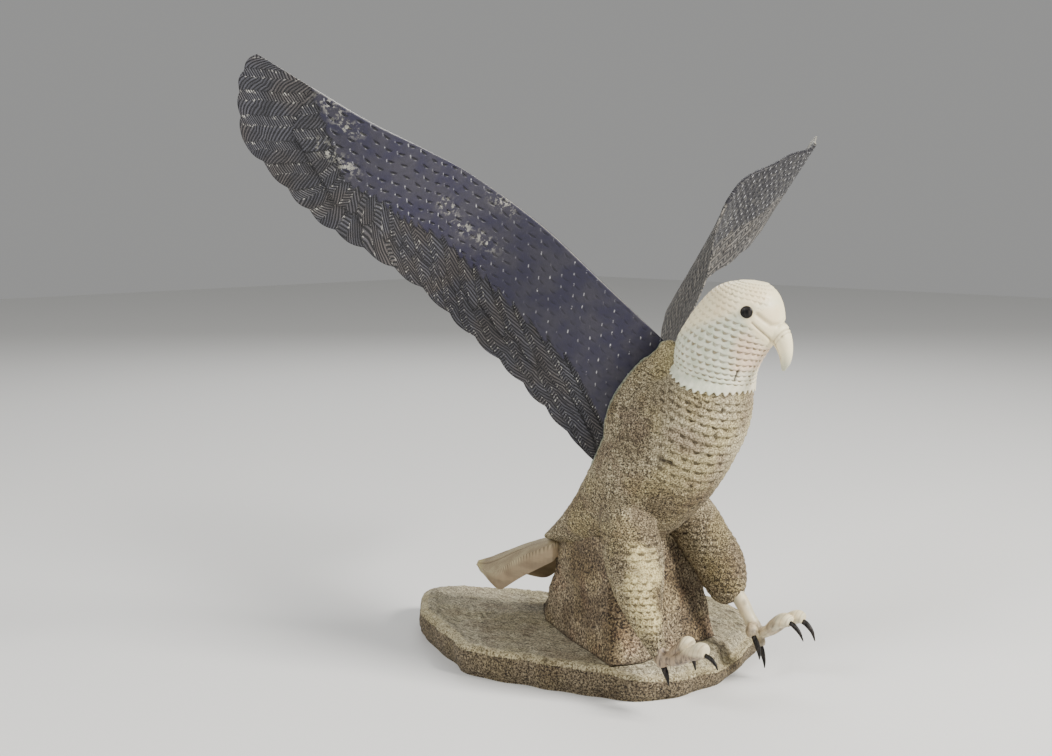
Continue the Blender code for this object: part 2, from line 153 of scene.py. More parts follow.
def capped(rows, w):
    # ring share for each row, and whether the row is an end's centre
    row = np.rint(w * rows)
    return np.clip((row - 1) / (rows - 2), 0, 1), (row < 0.5) | (row > rows - 0.5)


def tubePiece(name, stations, sides, rows):
    # round tube through stations of x, y, z and radius
    run = np.array(stations[-1][:3], float) - np.array(stations[0][:3], float)
    across = np.eye(3)[np.argmin(abs(run))]

    def place(u, w):
        t, end = capped(rows, w)
        here = alongCurve(stations, t)
        way = unit(alongCurve(stations, t + 0.01)[:, :3] - alongCurve(stations, t - 0.01)[:, :3])
        side = unit(np.cross(way, across))
        return here[:, :3] + ringRound(side, np.cross(side, way), u) * np.where(end, 0, here[:, 3])[:, None], {}
    return gridPiece(name, sides, rows, place)


def meltPieces(items, cell, smooth):
    # the closed shapes become one skin, with its creases softened
    bm = bmesh.new()
    for item in items:
        bm.from_mesh(item.data)
    bm.to_mesh(items[0].data)
    bm.free()
    for item in items[1:]:
        bpy.data.objects.remove(item, do_unlink=True)
    item = items[0]
    melt = item.modifiers.new("melt", "REMESH")
    melt.mode = "VOXEL"
    melt.voxel_size = cell * mm
    item.modifiers.new("soften", "SMOOTH").iterations = smooth
    bpy.context.view_layer.update()
    mesh = bpy.data.meshes.new_from_object(item.evaluated_get(bpy.context.evaluated_depsgraph_get()))
    item.modifiers.clear()
    item.data = mesh
    mesh.shade_smooth()
    return item


def carve(item, height, values, periods=None):
    # moves each point along its normal by so many millimetres
    mesh = item.data
    normals = np.empty(len(mesh.vertices) * 3)
    mesh.vertices.foreach_get("normal", normals)
    writePoints(mesh, readPoints(mesh) + normals.reshape(-1, 3) * height[:, None])
    writeValues(mesh, values, periods)


def ringPlaces(points, centres, sides, rears):
    # share along a row of rings for points near their skin
    normals = unit(np.cross(sides, rears))
    if normals[0] @ (centres[1] - centres[0]) < 0:
        normals = -normals
    gaps = points @ normals.T - (centres * normals).sum(1)
    k = np.clip((gaps > 0).sum(1) - 1, 0, len(centres) - 2)
    rows = np.arange(len(points))
    near, far = gaps[rows, k], gaps[rows, k + 1]
    return np.clip((k + near / np.maximum(near - far, 1e-6)) / (len(centres) - 1), 0, 1)


def scoops(a, b, wide, tall, reach, drop, thick):
    # rows of cut scales, a across and b down in scales: the slope of each scale, and the cut at its tip
    row = np.floor(b)
    shifted = a + 0.5 * (row % 2)
    x = (shifted - np.floor(shifted) - 0.5) * wide
    y = (b - row - 0.35) * tall
    bell = np.clip(1 - (x / reach) ** 2, 0, 1)
    cut = np.sqrt(bell) * (1 - ramp(abs(y - drop * bell) / (thick * (0.35 + 0.65 * bell)), 0.45, 1.25))
    slope = ((b - row - 0.35 - drop * bell / tall) % 1.0)
    return slope, cut


def grooves(points, path, wide):
    # 1 on a path of points and 0 away from it
    best = np.full(len(points), 1e9)
    for start, stop in zip(path, path[1:]):
        start, stop = np.array(start, float), np.array(stop, float)
        run = stop - start
        share = np.clip(((points - start) @ run) / (run @ run), 0, 1)
        best = np.minimum(best, np.linalg.norm(points - start - share[:, None] * run, axis=1))
    return np.exp(-(best / wide) ** 2)


# node helpers: every material is put together from these

def tone(r, g, b):
    # screen colour to the shader's linear colour
    return tuple(c / 12.92 if c <= 0.04045 else ((c + 0.055) / 1.055) ** 2.4 for c in (r / 255, g / 255, b / 255)) + (1,)


class Field:
    # one output of a node, so that sums of nodes are written as sums
    def __init__(self, finish, socket):
        self.finish = finish
        self.socket = socket

    def calc(self, operation, *more):
        return self.finish.calc(operation, self, *more)

    def __add__(self, other):
        return self.calc("ADD", other)

    def __mul__(self, other):
        return self.calc("MULTIPLY", other)

    def __sub__(self, other):
        return self.calc("SUBTRACT", other)

    def __rsub__(self, other):
        return self.finish.calc("SUBTRACT", other, self)

    def ramp(self, low, high, start=0.0, stop=1.0):
        inputs = dict(enumerate((self, low, high, start, stop)))
        return self.finish.node("MapRange", inputs, interpolation_type="SMOOTHSTEP")


class Finish:
    def __init__(self, name, rough, specular=0.5):
        self.material = bpy.data.materials.new(name)
        self.material.use_nodes = True
        self.tree = self.material.node_tree
        self.shader = self.tree.nodes["Principled BSDF"]
        self.put(self.shader, "Roughness", rough)
        self.put(self.shader, "Specular IOR Level", specular)
        self.place = self.node("TexCoord", {}, "Object")

    def put(self, node, key, value):
        if isinstance(value, Field):
            self.tree.links.new(value.socket, node.inputs[key])
        else:
            node.inputs[key].default_value = value

    def node(self, kind, inputs, out=0, **settings):
        node = self.tree.nodes.new("ShaderNode" + kind)
        for key, value in settings.items():
            setattr(node, key, value)
        for key, value in inputs.items():
            self.put(node, key, value)
        return Field(self, node.outputs[out])

    def calc(self, operation, *values):
        return self.node("Math", dict(enumerate(values)), operation=operation)

    def mix(self, share, first, second, blend="MIX"):
        return self.node("Mix", {0: share, 6: first, 7: second}, 2, data_type="RGBA", blend_type=blend)

    def coat(self, share, paint, blend="MIX"):
        # lays a colour over what is there
        self.colour = self.mix(share, self.colour, paint, blend)

    def turned(self, scale=(1, 1, 1), turn=(0, 0, 0)):
        return self.node("Mapping", {"Vector": self.place, "Rotation": [math.radians(a) for a in turn], "Scale": scale})

    def mottle(self, size, detail=2.0, rough=0.5, where=None):
        # noise with blobs of about this many millimetres
        return self.node("TexNoise", {"Vector": where or self.place, "Scale": 1000 / size, "Detail": detail,
                                      "Roughness": rough})

    def value(self, name):
        return self.node("Attribute", {}, "Fac", attribute_name=name)

    def chart(self, name):
        # the two numbers of one of the piece's UV maps
        both = self.node("UVMap", {}, uv_map=name)
        return [self.node("SeparateXYZ", {0: both}, k) for k in (0, 1)]

    def luck(self, x, y):
        # a steady random number for each cell
        return self.node("TexWhiteNoise", {"Vector": self.node("CombineXYZ", {0: x, 1: y})}, "Value", noise_dimensions="3D")

    def scoops(self, chart, wide, tall, reach, drop, thick):
        # the cut at the tip of each carved scale, for its relief and its painted shadow, and its place and chance for
        # more marks
        a, b = self.chart(chart)
        row = b.calc("FLOOR")
        across = a + row.calc("FLOORED_MODULO", 2.0) * 0.5
        x = (across.calc("FRACT") - 0.5) * wide
        y = (b.calc("FRACT") - 0.35) * tall
        share = x.calc("DIVIDE", reach)
        bell = (1.0 - share * share).calc("MAXIMUM", 0.0)
        off = (y - bell * drop).calc("ABSOLUTE")
        cut = off.calc("DIVIDE", (bell * 0.65 + 0.35) * thick).ramp(0.45, 1.25, 1.0, 0.0)
        return bell.calc("SQRT") * cut, x, y, self.luck(across.calc("FLOOR"), row)

    def done(self, rough=None, height=None, deep=0.3, strength=0.6):
        self.put(self.shader, "Base Color", self.colour)
        if rough is not None:
            self.put(self.shader, "Roughness", rough)
        if height is not None:
            bump = self.node("Bump", {"Strength": strength, "Distance": deep * mm, "Height": height})
            self.put(self.shader, "Normal", bump)
        return self.material


def boneFinish(name, pale, middle, dark, poreSize, grain, tints, scaled=False, brushed=0.0):
    # porous whalebone: close dark pores over mottled tan, with larger stains, a darker tone that is painted shade on
    # the plinth's side, and painted shade in cut scales and hollows
    f = Finish(name, 0.85)
    smooth, darkToneAndPaintedShade = f.value("smoothed"), f.value("darkToneAndPaintedShade")
    fine = f.mottle(grain, 3.0, 0.7)
    f.colour = f.mix(fine.ramp(0.4, 0.52), dark, middle)
    f.coat(fine.ramp(0.54, 0.66), pale)
    f.coat(smooth * 0.7, f.mix(fine.ramp(0.35, 0.65), middle, pale))
    f.coat(f.mottle(38, 2.0, 0.55).ramp(0.46, 0.62, 0.0, 0.6), tints[0], "MULTIPLY")
    f.coat(f.mottle(24, 2.0, 0.5, f.turned(turn=(40, 15, 70))).ramp(0.52, 0.66, 0.0, 0.7), tints[1], "MULTIPLY")
    crowd = (f.mottle(11).ramp(0.38, 0.62, 0.6, 1.0) + darkToneAndPaintedShade * 0.3) * (1.0 - smooth * 0.7)
    cells = f.node("TexVoronoi", {"Vector": f.place, "Scale": 1000 / poreSize})
    holes = cells.ramp(0.2, 0.38, 1.0, 0.0) * crowd
    f.coat(holes * 0.85, f.mix(0.7, dark, (0.012, 0.009, 0.006, 1)))
    # darkens in patches and towards the lower body, and paints shade down the plinth's side
    f.coat(darkToneAndPaintedShade * 0.85, tone(166, 152, 138), "MULTIPLY")
    shade = fine.ramp(0.34, 0.56, 1.0, 0.0).calc("MAXIMUM", holes * 0.9)
    f.coat(f.value("worn"), f.mix(shade, tone(224, 209, 154), tone(140, 120, 78)))
    height = fine - holes
    if brushed:
        stroke = f.mottle(3.6, 4.0, 0.75, f.turned((1, 0.35, 1), (0, 0, 38)))
        share = smooth * brushed
        f.coat(stroke.ramp(0.34, 0.48, 1.0, 0.0) * (share * 0.85), dark)
        f.coat(stroke.ramp(0.54, 0.68) * (share * 0.8), pale)
        height = height + stroke * share * 3.0
    if scaled:
        share = f.value("thigh")
        first, *_, chance = f.scoops("scale", 8.7, 5.2, 2.8, 1.15, 1.0)
        second = f.scoops("thighScale", 6.2, 4.6, 2.3, 1.1, 0.9)[0]
        cut = (first * (chance * 0.5 + 0.5) * (1.0 - share) + second * share) * f.value("scaled")
        # painted shadow: the cut at each scale's tip is coloured dark
        f.coat(cut * 0.9, tone(72, 61, 44))
        height = height - cut * 1.4
        f.coat(f.value("lip"), f.mix(f.mottle(2.4).ramp(0.35, 0.65), tone(118, 126, 108), tone(160, 164, 142)))
    # painted shade darkens pits, grooves and other hollows
    f.coat(f.value("paintedCavityShade") * 0.85, tone(52, 42, 30))
    return f.done(fine.ramp(0.3, 0.7, 0.95, 0.75), height, 0.6, 0.85)


def ivoryFinish(name):
    # carved tusk: cream white, pinkish throat, a painted green grey shade down one side of the neck, with cut lines
    # darkened as painted shadow
    f = Finish(name, 0.4)
    f.colour = f.mix(f.mottle(24).ramp(0.35, 0.68), tone(248, 236, 196), tone(240, 222, 180))
    # painted shade: greener grey where the shaded value is set, down one side of the neck and round its lower rim
    f.coat(f.value("shaded"), f.mix(f.mottle(5, 3.0).ramp(0.3, 0.7), tone(200, 206, 180), tone(226, 226, 204)))
    f.coat(f.value("throat"), f.mix(f.mottle(7).ramp(0.35, 0.7), tone(232, 210, 180), tone(226, 198, 172)))
    f.coat(f.value("beakEnd"), tone(172, 176, 156))
    cut, *_, chance = f.scoops("scale", 4.6, 3.5, 1.9, 0.95, 0.75)
    cut = cut * f.value("neck")
    # painted shadow darkens the cut at each scale's tip
    f.coat(cut * (chance * 0.45 + 0.45), tone(138, 122, 90))
    # painted shade in grooves, folds and hollows
    f.coat(f.value("paintedCavityShade") * 0.8, tone(126, 108, 76))
    brown = f.mottle(2.6, 3.0, 0.6, f.turned((1, 1, 0.3))).ramp(0.34, 0.62)
    f.coat(f.value("stain"), f.mix(brown, tone(84, 72, 62), tone(158, 138, 112)))
    f.coat(f.value("crack"), tone(62, 52, 42))
    fine = f.mottle(1.6)
    f.coat(fine.ramp(0.56, 0.75, 0.0, 0.22), tone(200, 190, 162))
    return f.done(f.mottle(3).ramp(0.3, 0.7, 0.42, 0.56), fine * 0.2 - cut, 0.6, 0.9)


def hornFinish(name, colour, rough):
    # polished black baleen of the eyes and claws, with fine streaks
    f = Finish(name, rough, 0.22)
    streak = f.mottle(1.4, 3.0, 0.6, f.turned((1, 1, 0.25)))
    f.colour = f.mix(streak.ramp(0.4, 0.75), colour, tone(58, 52, 48))
    return f.done(streak.ramp(0.3, 0.7, rough, rough + 0.12), streak, 0.05, 0.3)


def wingFinish(name, lattice, fleckAt, coarse, shineShare, spark, back):
    # carved baleen: barbs cut along both sides of each shaft, with painted highlights on their edges and shafts, and
    # rows of small cuts above, with painted shadow in each cut and painted highlight flecks
    f = Finish(name, 0.5, 0.35)
    q, r = f.chart("plume")
    wide, lower = f.chart("vane")
    band, outer, grey = f.value("band"), f.value("outer"), f.value("grey")
    q = q + (1.0 - lower.calc("GREATER_THAN", 0.5)) * 0.5
    part = q.calc("FRACT")
    d = (part - 0.6) * wide
    ladder = d.calc("GREATER_THAN", 0.0)
    off = d.calc("ABSOLUTE")

    def barbs(along, across, outerAlong, outerAcross):
        return (r * (outer * (outerAlong - along) + along) - off * (outer * (outerAcross - across) + across)) * coarse
    phase = barbs(0.5, 0.19, 0.54, 0.36) * ladder + barbs(0.22, 0.48, 0.34, 0.52) * (1.0 - ladder) + f.mottle(15, 1.0) * 1.3
    line = phase.calc("PINGPONG", 0.5).ramp(0.1, 0.4)
    barb = f.luck(phase.calc("FLOOR"), q.calc("FLOOR") * 2.0 + ladder)
    rim = ((1.0 - part) * wide).ramp(0.5, 1.8, 1.0, 0.0)
    shaft = off.ramp(0.2, 0.9, 1.0, 0.0) * 0.55
    # painted highlight: pale glints along feather edges and shafts, on the barbs
    shine = rim.calc("MAXIMUM", shaft) * barb.ramp(0.3, 0.8) * f.mottle(1.9, 2.0, 0.6).ramp(0.48, 0.6) * line
    tint = f.mix(f.mottle(20).ramp(0.4, 0.62), tone(78, 78, 86), tone(88, 83, 82))
    tint = f.mix(grey * 0.9, tint, tone(136, 130, 120))
    # the barbs paler than the grooves between them: the carved pattern, with painted light on the ridges and painted
    # shade in the grooves
    feather = f.mix(line * (barb * 0.55 + 0.45), tone(27, 27, 31), tint)
    feather = f.mix(shine * shineShare, feather, tone(206, 204, 196))

    # the smooth field above the feathers, with its small cuts in painted shadow and its flecks of painted highlight
    cut, x, y, chance = f.scoops("scale", *lattice)
    cut = cut * f.value("notch")
    dx = x - fleckAt + (chance - 0.5) * 1.4
    along = (y * 0.8 - dx * 0.6).calc("ABSOLUTE")
    across = (y * 0.6 + dx * 0.8).calc("ABSOLUTE")
    # each fleck is a painted highlight beside its cut
    highlightFleck = across.ramp(0.2, 0.6, 1.0, 0.0) * along.ramp(0.6, 1.5, 1.0, 0.0)
    highlightFleck = highlightFleck * chance.ramp(*spark) * f.mottle(1.7).ramp(0.36, 0.62)
    # dark baleen, its purple tint a painted sheen
    f.colour = f.mix(f.mottle(15).ramp(0.35, 0.65), tone(40, 38, 60), tone(54, 52, 64))
    f.coat(f.mottle(2.2).ramp(0.4, 0.7, 0.0, 0.35), tone(36, 36, 44))
    f.coat(grey, back)
    # painted shadow in each small cut
    f.coat(cut * 0.9, tone(22, 22, 27))
    f.coat(highlightFleck, tone(206, 206, 210))
    f.coat(band, feather)
    # painted shade below each row's step and along feather edges
    f.coat(f.value("paintedCavityShade") * 0.75, tone(22, 22, 25))
    f.coat(f.value("worn") * f.mottle(3.2, 3.0, 0.65).ramp(0.5, 0.62), tone(168, 166, 156))
    # painted highlight along the plate's front edge, and over the front of the far wing's tip
    f.coat(f.value("rim").ramp(0.5, 0.85) * f.mottle(4).ramp(0.25, 0.6, 0.5, 0.9), tone(170, 167, 152))
    height = line * band + (highlightFleck - cut) * (1.0 - band) + f.mottle(0.9) * 0.3
    return f.done(band * 0.08 + 0.46, height, 0.5, 0.8)


def tailFinish(name):
    # tan ivory with fine slanting barbs cut from the ridge, painted shade over the underside, and painted shade along
    # each step
    f = Finish(name, 0.5)
    x, y = f.chart("barb")
    line = (y * 0.4 - x.calc("ABSOLUTE") * 0.4 + f.mottle(14) * 1.2).calc("PINGPONG", 0.5).ramp(0.06, 0.4)
    top = f.value("topSide")
    f.colour = f.mix(f.mottle(12, 3.0).ramp(0.35, 0.65), tone(158, 140, 108), tone(190, 174, 136))
    under = f.mottle(9, 3.0, 0.6, f.turned((1, 0.3, 1))).ramp(0.35, 0.65)
    # painted shade: the underside is coloured darker than the top
    f.coat((1.0 - top) * 0.75, f.mix(under, tone(112, 92, 70), tone(150, 128, 98)))
    f.coat(f.value("tipEnd"), tone(206, 190, 128))
    f.coat((1.0 - line) * (top * 0.62 + 0.04), tone(74, 60, 42))
    # painted shade along the foot of each feather's step
    f.coat(f.value("paintedCavityShade") * 0.8, tone(80, 62, 42))
    return f.done(None, line * (top + 0.05), 0.35, 0.7)


# body: torso, thighs and shoulders melted together, in the CAD's own stations
bodyForm = {
    "cell": 0.985, "smooth": 6, "columns": 24, "rows": 37, "scale": (8.7, 5.2, 2.7, 1.1, 1), "scaleDeep": 1.15,
    "thighColumns": 16, "thighPitch": 4.6, "thighScale": (6.2, 4.6, 2.3, 1.1, 0.85),
    "torso": [(-108, 215.5, 15, 26.8, 27, 23.4), (-104, 204, 24, 33, 34, 25.5), (-97, 191, 33, 38, 46, 30),
              (-84, 175, 39, 41.5, 50, 34.5), (-69, 159, 43, 44, 46, 38.5), (-52, 144, 46, 43.5, 38, 41),
              (-35, 129, 49, 41, 29, 39), (-17, 115, 53, 37, 20.5, 31), (2, 103, 58, 31.5, 12.5, 20),
              (18, 94.5, 64, 25, 7.5, 11), (29, 89.5, 68, 19, 4.5, 5), (37, 87, 70, 12, 2, 2)],
    "shoulder": [(15, -56, 142, 10), (20, -51, 156, 15), (20.5, -50.5, 172, 16.8), (18, -53.5, 188, 17.6),
                 (14, -60, 204, 15.8), (9.5, -71, 218, 14), (8, -73, 229, 9), (8, -71, 235.5, 4)],
    "thighs": {
        -1: [(21, -44, 135, 10), (28.5, -53, 122, 16.2), (36, -65.5, 108, 19.2), (42, -75, 92, 19.5), (45, -81, 77, 17),
             (46.5, -86, 65, 13.5), (47.5, -91, 55, 10), (48.5, -97, 46, 7.4), (49, -101, 40, 6), (49.3, -103, 36.5, 5)],
        1: [(20, -46, 132, 15), (27, -54, 121, 17.5), (34, -62, 108, 18.5), (40, -70, 93, 18.2), (44.5, -77, 80, 18),
            (46, -82, 68, 16.5), (47, -85, 58, 13), (47.4, -87, 52.5, 9), (47.6, -88, 50, 4.5)],
    },
}


def sideOf(stations, mark):
    return [(x * mark, y, z, r) for x, y, z, r in stations]


def torsoPoints(t, angle, grow=0.0):
    y, z, lean, half, back, front = alongCurve(bodyForm["torso"], t).T
    lean = np.radians(lean)
    s = np.sin(angle)
    outward = (np.where(s > 0, back, front) + grow) * s
    return np.stack([(half + grow) * np.cos(angle), y + outward * np.cos(lean), z + outward * np.sin(lean)], -1)


def torsoPlace(u, w):
    t, end = capped(110, w)
    points = torsoPoints(t, tau * u)
    points[end] = np.insert(alongCurve(bodyForm["torso"], t[end])[:, :2], 0, 0, axis=1)
    return points, {}


parts = [gridPiece("bodyCarved", 140, 110, torsoPlace)]
for mark in (-1, 1):
    parts.append(tubePiece("thigh", sideOf(bodyForm["thighs"][mark], mark), 48, 50))
    parts.append(tubePiece("shoulder", sideOf(bodyForm["shoulder"], mark), 44, 34))
body = meltPieces(parts, bodyForm["cell"], bodyForm["smooth"])


def bodyRelief(item):
    points = readPoints(item.data)
    line = alongCurve(bodyForm["torso"], np.linspace(0, 1, 160))
    lean = np.radians(line[:, 2])
    centres = np.insert(line[:, :2], 0, 0, axis=1)
    rears = np.column_stack([0 * lean, np.cos(lean), np.sin(lean)])
    t = ringPlaces(points, centres, np.tile([1.0, 0, 0], (len(line), 1)), rears)
    here = alongCurve(bodyForm["torso"], t)
    out = points[:, 1:] - here[:, :2]
    lean = np.radians(here[:, 2])
    outward = out[:, 0] * np.cos(lean) + out[:, 1] * np.sin(lean)
    depth = np.where(outward > 0, here[:, 4], here[:, 5])
    angle = np.arctan2(outward / depth, points[:, 0] / here[:, 3])
    # scales of the breast and flanks: columns round the body, rows down it
    form = bodyForm
    x, y, z = points.T
    front = ramp(-y - abs(x) * 0.8, 40, 84) * ramp(z, 128, 165)
    thigh = ramp(116 - z, -9, 9) * ramp(-40 - y, -9, 9)
    around = turns(angle, form["columns"]) + 0.16 * cloud(points, 16, 26)
    down = t * form["rows"] + 0.22 * cloud(points, 18, 27)
    slope, cut = scoops(around, down, *form["scale"])
    height = (slope - 0.5) * (0.35 + 0.65 * front) * form["scaleDeep"] - cut * (0.35 + 0.65 * front) * 0.8
    # scales of the thighs: columns round each leg, rows down it
    right, left = (np.array(sideOf(form["thighs"][mark], mark))[::-1].T for mark in (-1, 1))
    legX, legY = (np.where(x < 0, np.interp(z, right[2], right[k]), np.interp(z, left[2], left[k])) for k in (0, 1))
    legRound = turns(np.arctan2(y - legY, x - legX), form["thighColumns"])
    legDown = (150 - z) / form["thighPitch"]
    legSlope, legCut = scoops(legRound, legDown, *form["thighScale"])
    height = height * (1 - thigh) + ((legSlope - 0.5) * 0.6 - legCut * 0.5) * thigh
    height = height * ramp(t, 0.03, 0.06)
    scaled = (0.8 + 0.2 * front) * (1 - thigh) + 0.9 * thigh
    scaled = scaled * ramp(cloud(points, 22, 1) + 0.6 * front, -0.45, 0.1) * ramp(t, 0.03, 0.06) * ramp(-y, -40, 0)
    lumps = cloud(points, 11, 3) * 0.3 + cloud(points, 3.0, 4) * 0.34
    pits = np.clip(-cloud(points, 2.3, 5) - 0.33, 0, 1) * ramp(t, 0.02, 0.05)
    marks = np.maximum(grooves(points, [(-41, -60.6, 173.2), (-41.3, -67, 173.8), (-42.1, -75.4, 173)], 0.7),
                       grooves(points, [(-38.1, -92.5, 162.1), (-33.9, -98.2, 160.3)], 1.5))
    for pit in ((-14.9, -124.8, 195.6), (-16.6, -101.1, 143.2), (-16.9, -120.3, 179.1), (-27.8, -116.3, 200.5)):
        marks = np.maximum(marks, bump(away(points, pit), 0, 1.3))
    # smooth lip where each wing is let in
    lip = np.zeros(len(points))
    for mark in (-1, 1):
        u, w = (grid.ravel() for grid in np.meshgrid(np.linspace(-0.03, 0.14, 22), np.linspace(0, 1, 50)))
        plate = KDTree(len(u))
        for k, point in enumerate(wingMiddle(u, w, mark, 0.0)):
            plate.insert(point, k)
        plate.balance()
        close = np.where((x * mark > 5) & (z > 140))[0]
        for k in close:
            lip[k] = max(lip[k], 1 - (plate.find(points[k])[2] - 3.4) / 1.6)
    lip = np.clip(lip, 0, 1)
    height = height * (1 - lip) + lumps - pits * 0.9 - marks * 1.6 + lip * 0.3
    # pale worn bone down the outside of the near thigh
    patch = grooves(points, [(-52, -89, 99), (-48, -93, 88), (-57, -91, 81), (-57, -92, 71), (-51, -96, 61)], 12)
    patch = ramp(patch + cloud(points, 7, 6) * 0.35, 0.3, 0.9)
    # darker in random patches and towards the lower body, less on the breast
    darkToneAndPaintedShade = ramp(cloud(points, 30, 24) - 0.2 * front, -0.1, 0.4) * 0.5 + ramp(150 - z, 0, 30) * 0.25
    # painted shade in the pits, pock marks and grooves
    carve(item, height,
          {"paintedCavityShade": np.clip(pits * 1.3 + marks * 1.2, 0, 1), "worn": patch * 0.9, "scale": np.stack([around, down], 1),
           "thighScale": np.stack([legRound, legDown], 1), "thigh": thigh, "scaled": scaled, "lip": lip,
           "smoothed": front * 0.6, "darkToneAndPaintedShade": np.clip(darkToneAndPaintedShade, 0, 1)},
          {"scale": form["columns"], "thighScale": form["thighColumns"]})


# head and neck: one carved tusk, its lower edge cut into rows of small tips
headForm = {
    "cell": 0.57, "turn": 14, "footY": -118, "teeth": 34, "toothDeep": 2, "sideDip": 3.5, "skirt": 1.2, "gap": 0.3,
    "rows": 84, "under": 5, "neckLong": 66, "rowPitch": 3.5, "scale": (4.6, 3.5, 1.75, 0.9, 0.7), "scaleDeep": 0.6,
    "stations": [(-10, 216.5, 15, 28.2, 28.4, 25), (-10, 224, 16, 28, 28.2, 27),
                 (-8, 233.5, 18, 27, 27.8, 29.5), (-2.5, 243.5, 20, 25.4, 26.8, 30.5),
                 (3.5, 252, 23, 24, 26, 30.5), (9.5, 260, 23, 22.6, 25, 29),
                 (13, 267.5, 18, 19.8, 21.6, 24), (15, 273.5, 12, 15, 16, 17.4),
                 (15.8, 277.2, 6, 8.5, 8.8, 9.6)],
    "beak": [(24, 247.5, 11, 11, 0), (30, 247.3, 9.2, 9.4, 16), (34.2, 244, 7.4, 7.6, 40),
             (37, 238.5, 5.8, 6, 62), (38.4, 232, 4.2, 4.5, 82), (38.2, 225.8, 2.7, 3, 97),
             (36.9, 221, 0.9, 0.9, 106)],
    "eyeRadius": 4, "eyeDome": 1.8, "eyeSet": 3, "eyeAlong": 0.667, "eyeRound": 20,
}


def headAxes(turn):
    turn = np.radians(turn)
    zero = np.zeros_like(turn)
    return np.stack([np.sin(turn), -np.cos(turn), zero], -1), np.stack([np.cos(turn), np.sin(turn), zero], -1)


def headRings(t):
    ahead, z, lean, half, back, front = alongCurve(headForm["stations"], t).T
    forward, side = headAxes(headForm["turn"] * np.minimum(1.0, t * 1.6))
    lean = np.radians(lean)[:, None]
    rear = -forward * np.cos(lean) + np.array([0, 0, 1.0]) * np.sin(lean)
    centre = forward * ahead[:, None]
    centre[:, 1] += headForm["footY"]
    centre[:, 2] += z
    return centre, side, rear, half, back, front


def headPoints(t, angle):
    centre, side, rear, half, back, front = headRings(t)
    s = np.sin(angle)
    outward = np.where(s > 0, back, front) * s
    return centre + side * (half * np.cos(angle))[:, None] + rear * outward[:, None]


def headPlace(u, w):
    form = headForm
    rows, under, gap = form["rows"], form["under"], form["gap"]
    row = np.rint(w * rows)
    angle = tau * u
    tooth = form["toothDeep"] * (0.5 - 0.5 * np.cos(angle * form["teeth"]))
    drop = 0.010 + 0.0078 * (tooth + form["sideDip"] * np.cos(angle) ** 2)
    lift = np.array([0, -0.37, 0.93]) * gap
    points = headPoints(np.clip((row - under) / (rows - under - 1), 0, 1), angle)
    points[row == 0] = np.insert(alongCurve(bodyForm["torso"], 0.0)[:2], 0, 0) + lift
    for index, t, grow, up in ((1, 0 * drop, gap, lift), (2, drop / 2, 1.5 * gap, 0), (3, drop, 1.5 * gap, 0),
                               (4, drop, gap + form["skirt"], 0)):
        pick = row == index
        points[pick] = torsoPoints(t[pick], angle[pick], grow) + up
    last = form["stations"][-1]
    forward = headAxes(np.array(form["turn"]))[0]
    points[row == rows] = np.array([0, form["footY"], last[1] + 1.0]) + forward * (last[0] + 0.4)
    return points, {}


def beakPlace(u, w):
    t, end = capped(50, w)
    ahead, z, half, deep, pitch = alongCurve(headForm["beak"], t).T
    forward, side = headAxes(np.full(len(t), headForm["turn"]))
    a, pitch = tau * u, np.radians(pitch)[:, None]
    up = forward * np.sin(pitch) + np.array([0, 0, 1.0]) * np.cos(pitch)
    points = forward * ahead[:, None] + side * np.where(end, 0, half * np.cos(a))[:, None]
    points += up * np.where(end, 0, deep * np.sin(a))[:, None]
    points[:, 1] += headForm["footY"]
    points[:, 2] += z
    return points, {}


def eyeSpot(mark):
    start = math.radians(headForm["eyeRound"])
    return headPoints(np.array([headForm["eyeAlong"]]), np.array([-start if mark > 0 else math.pi + start]))[0]


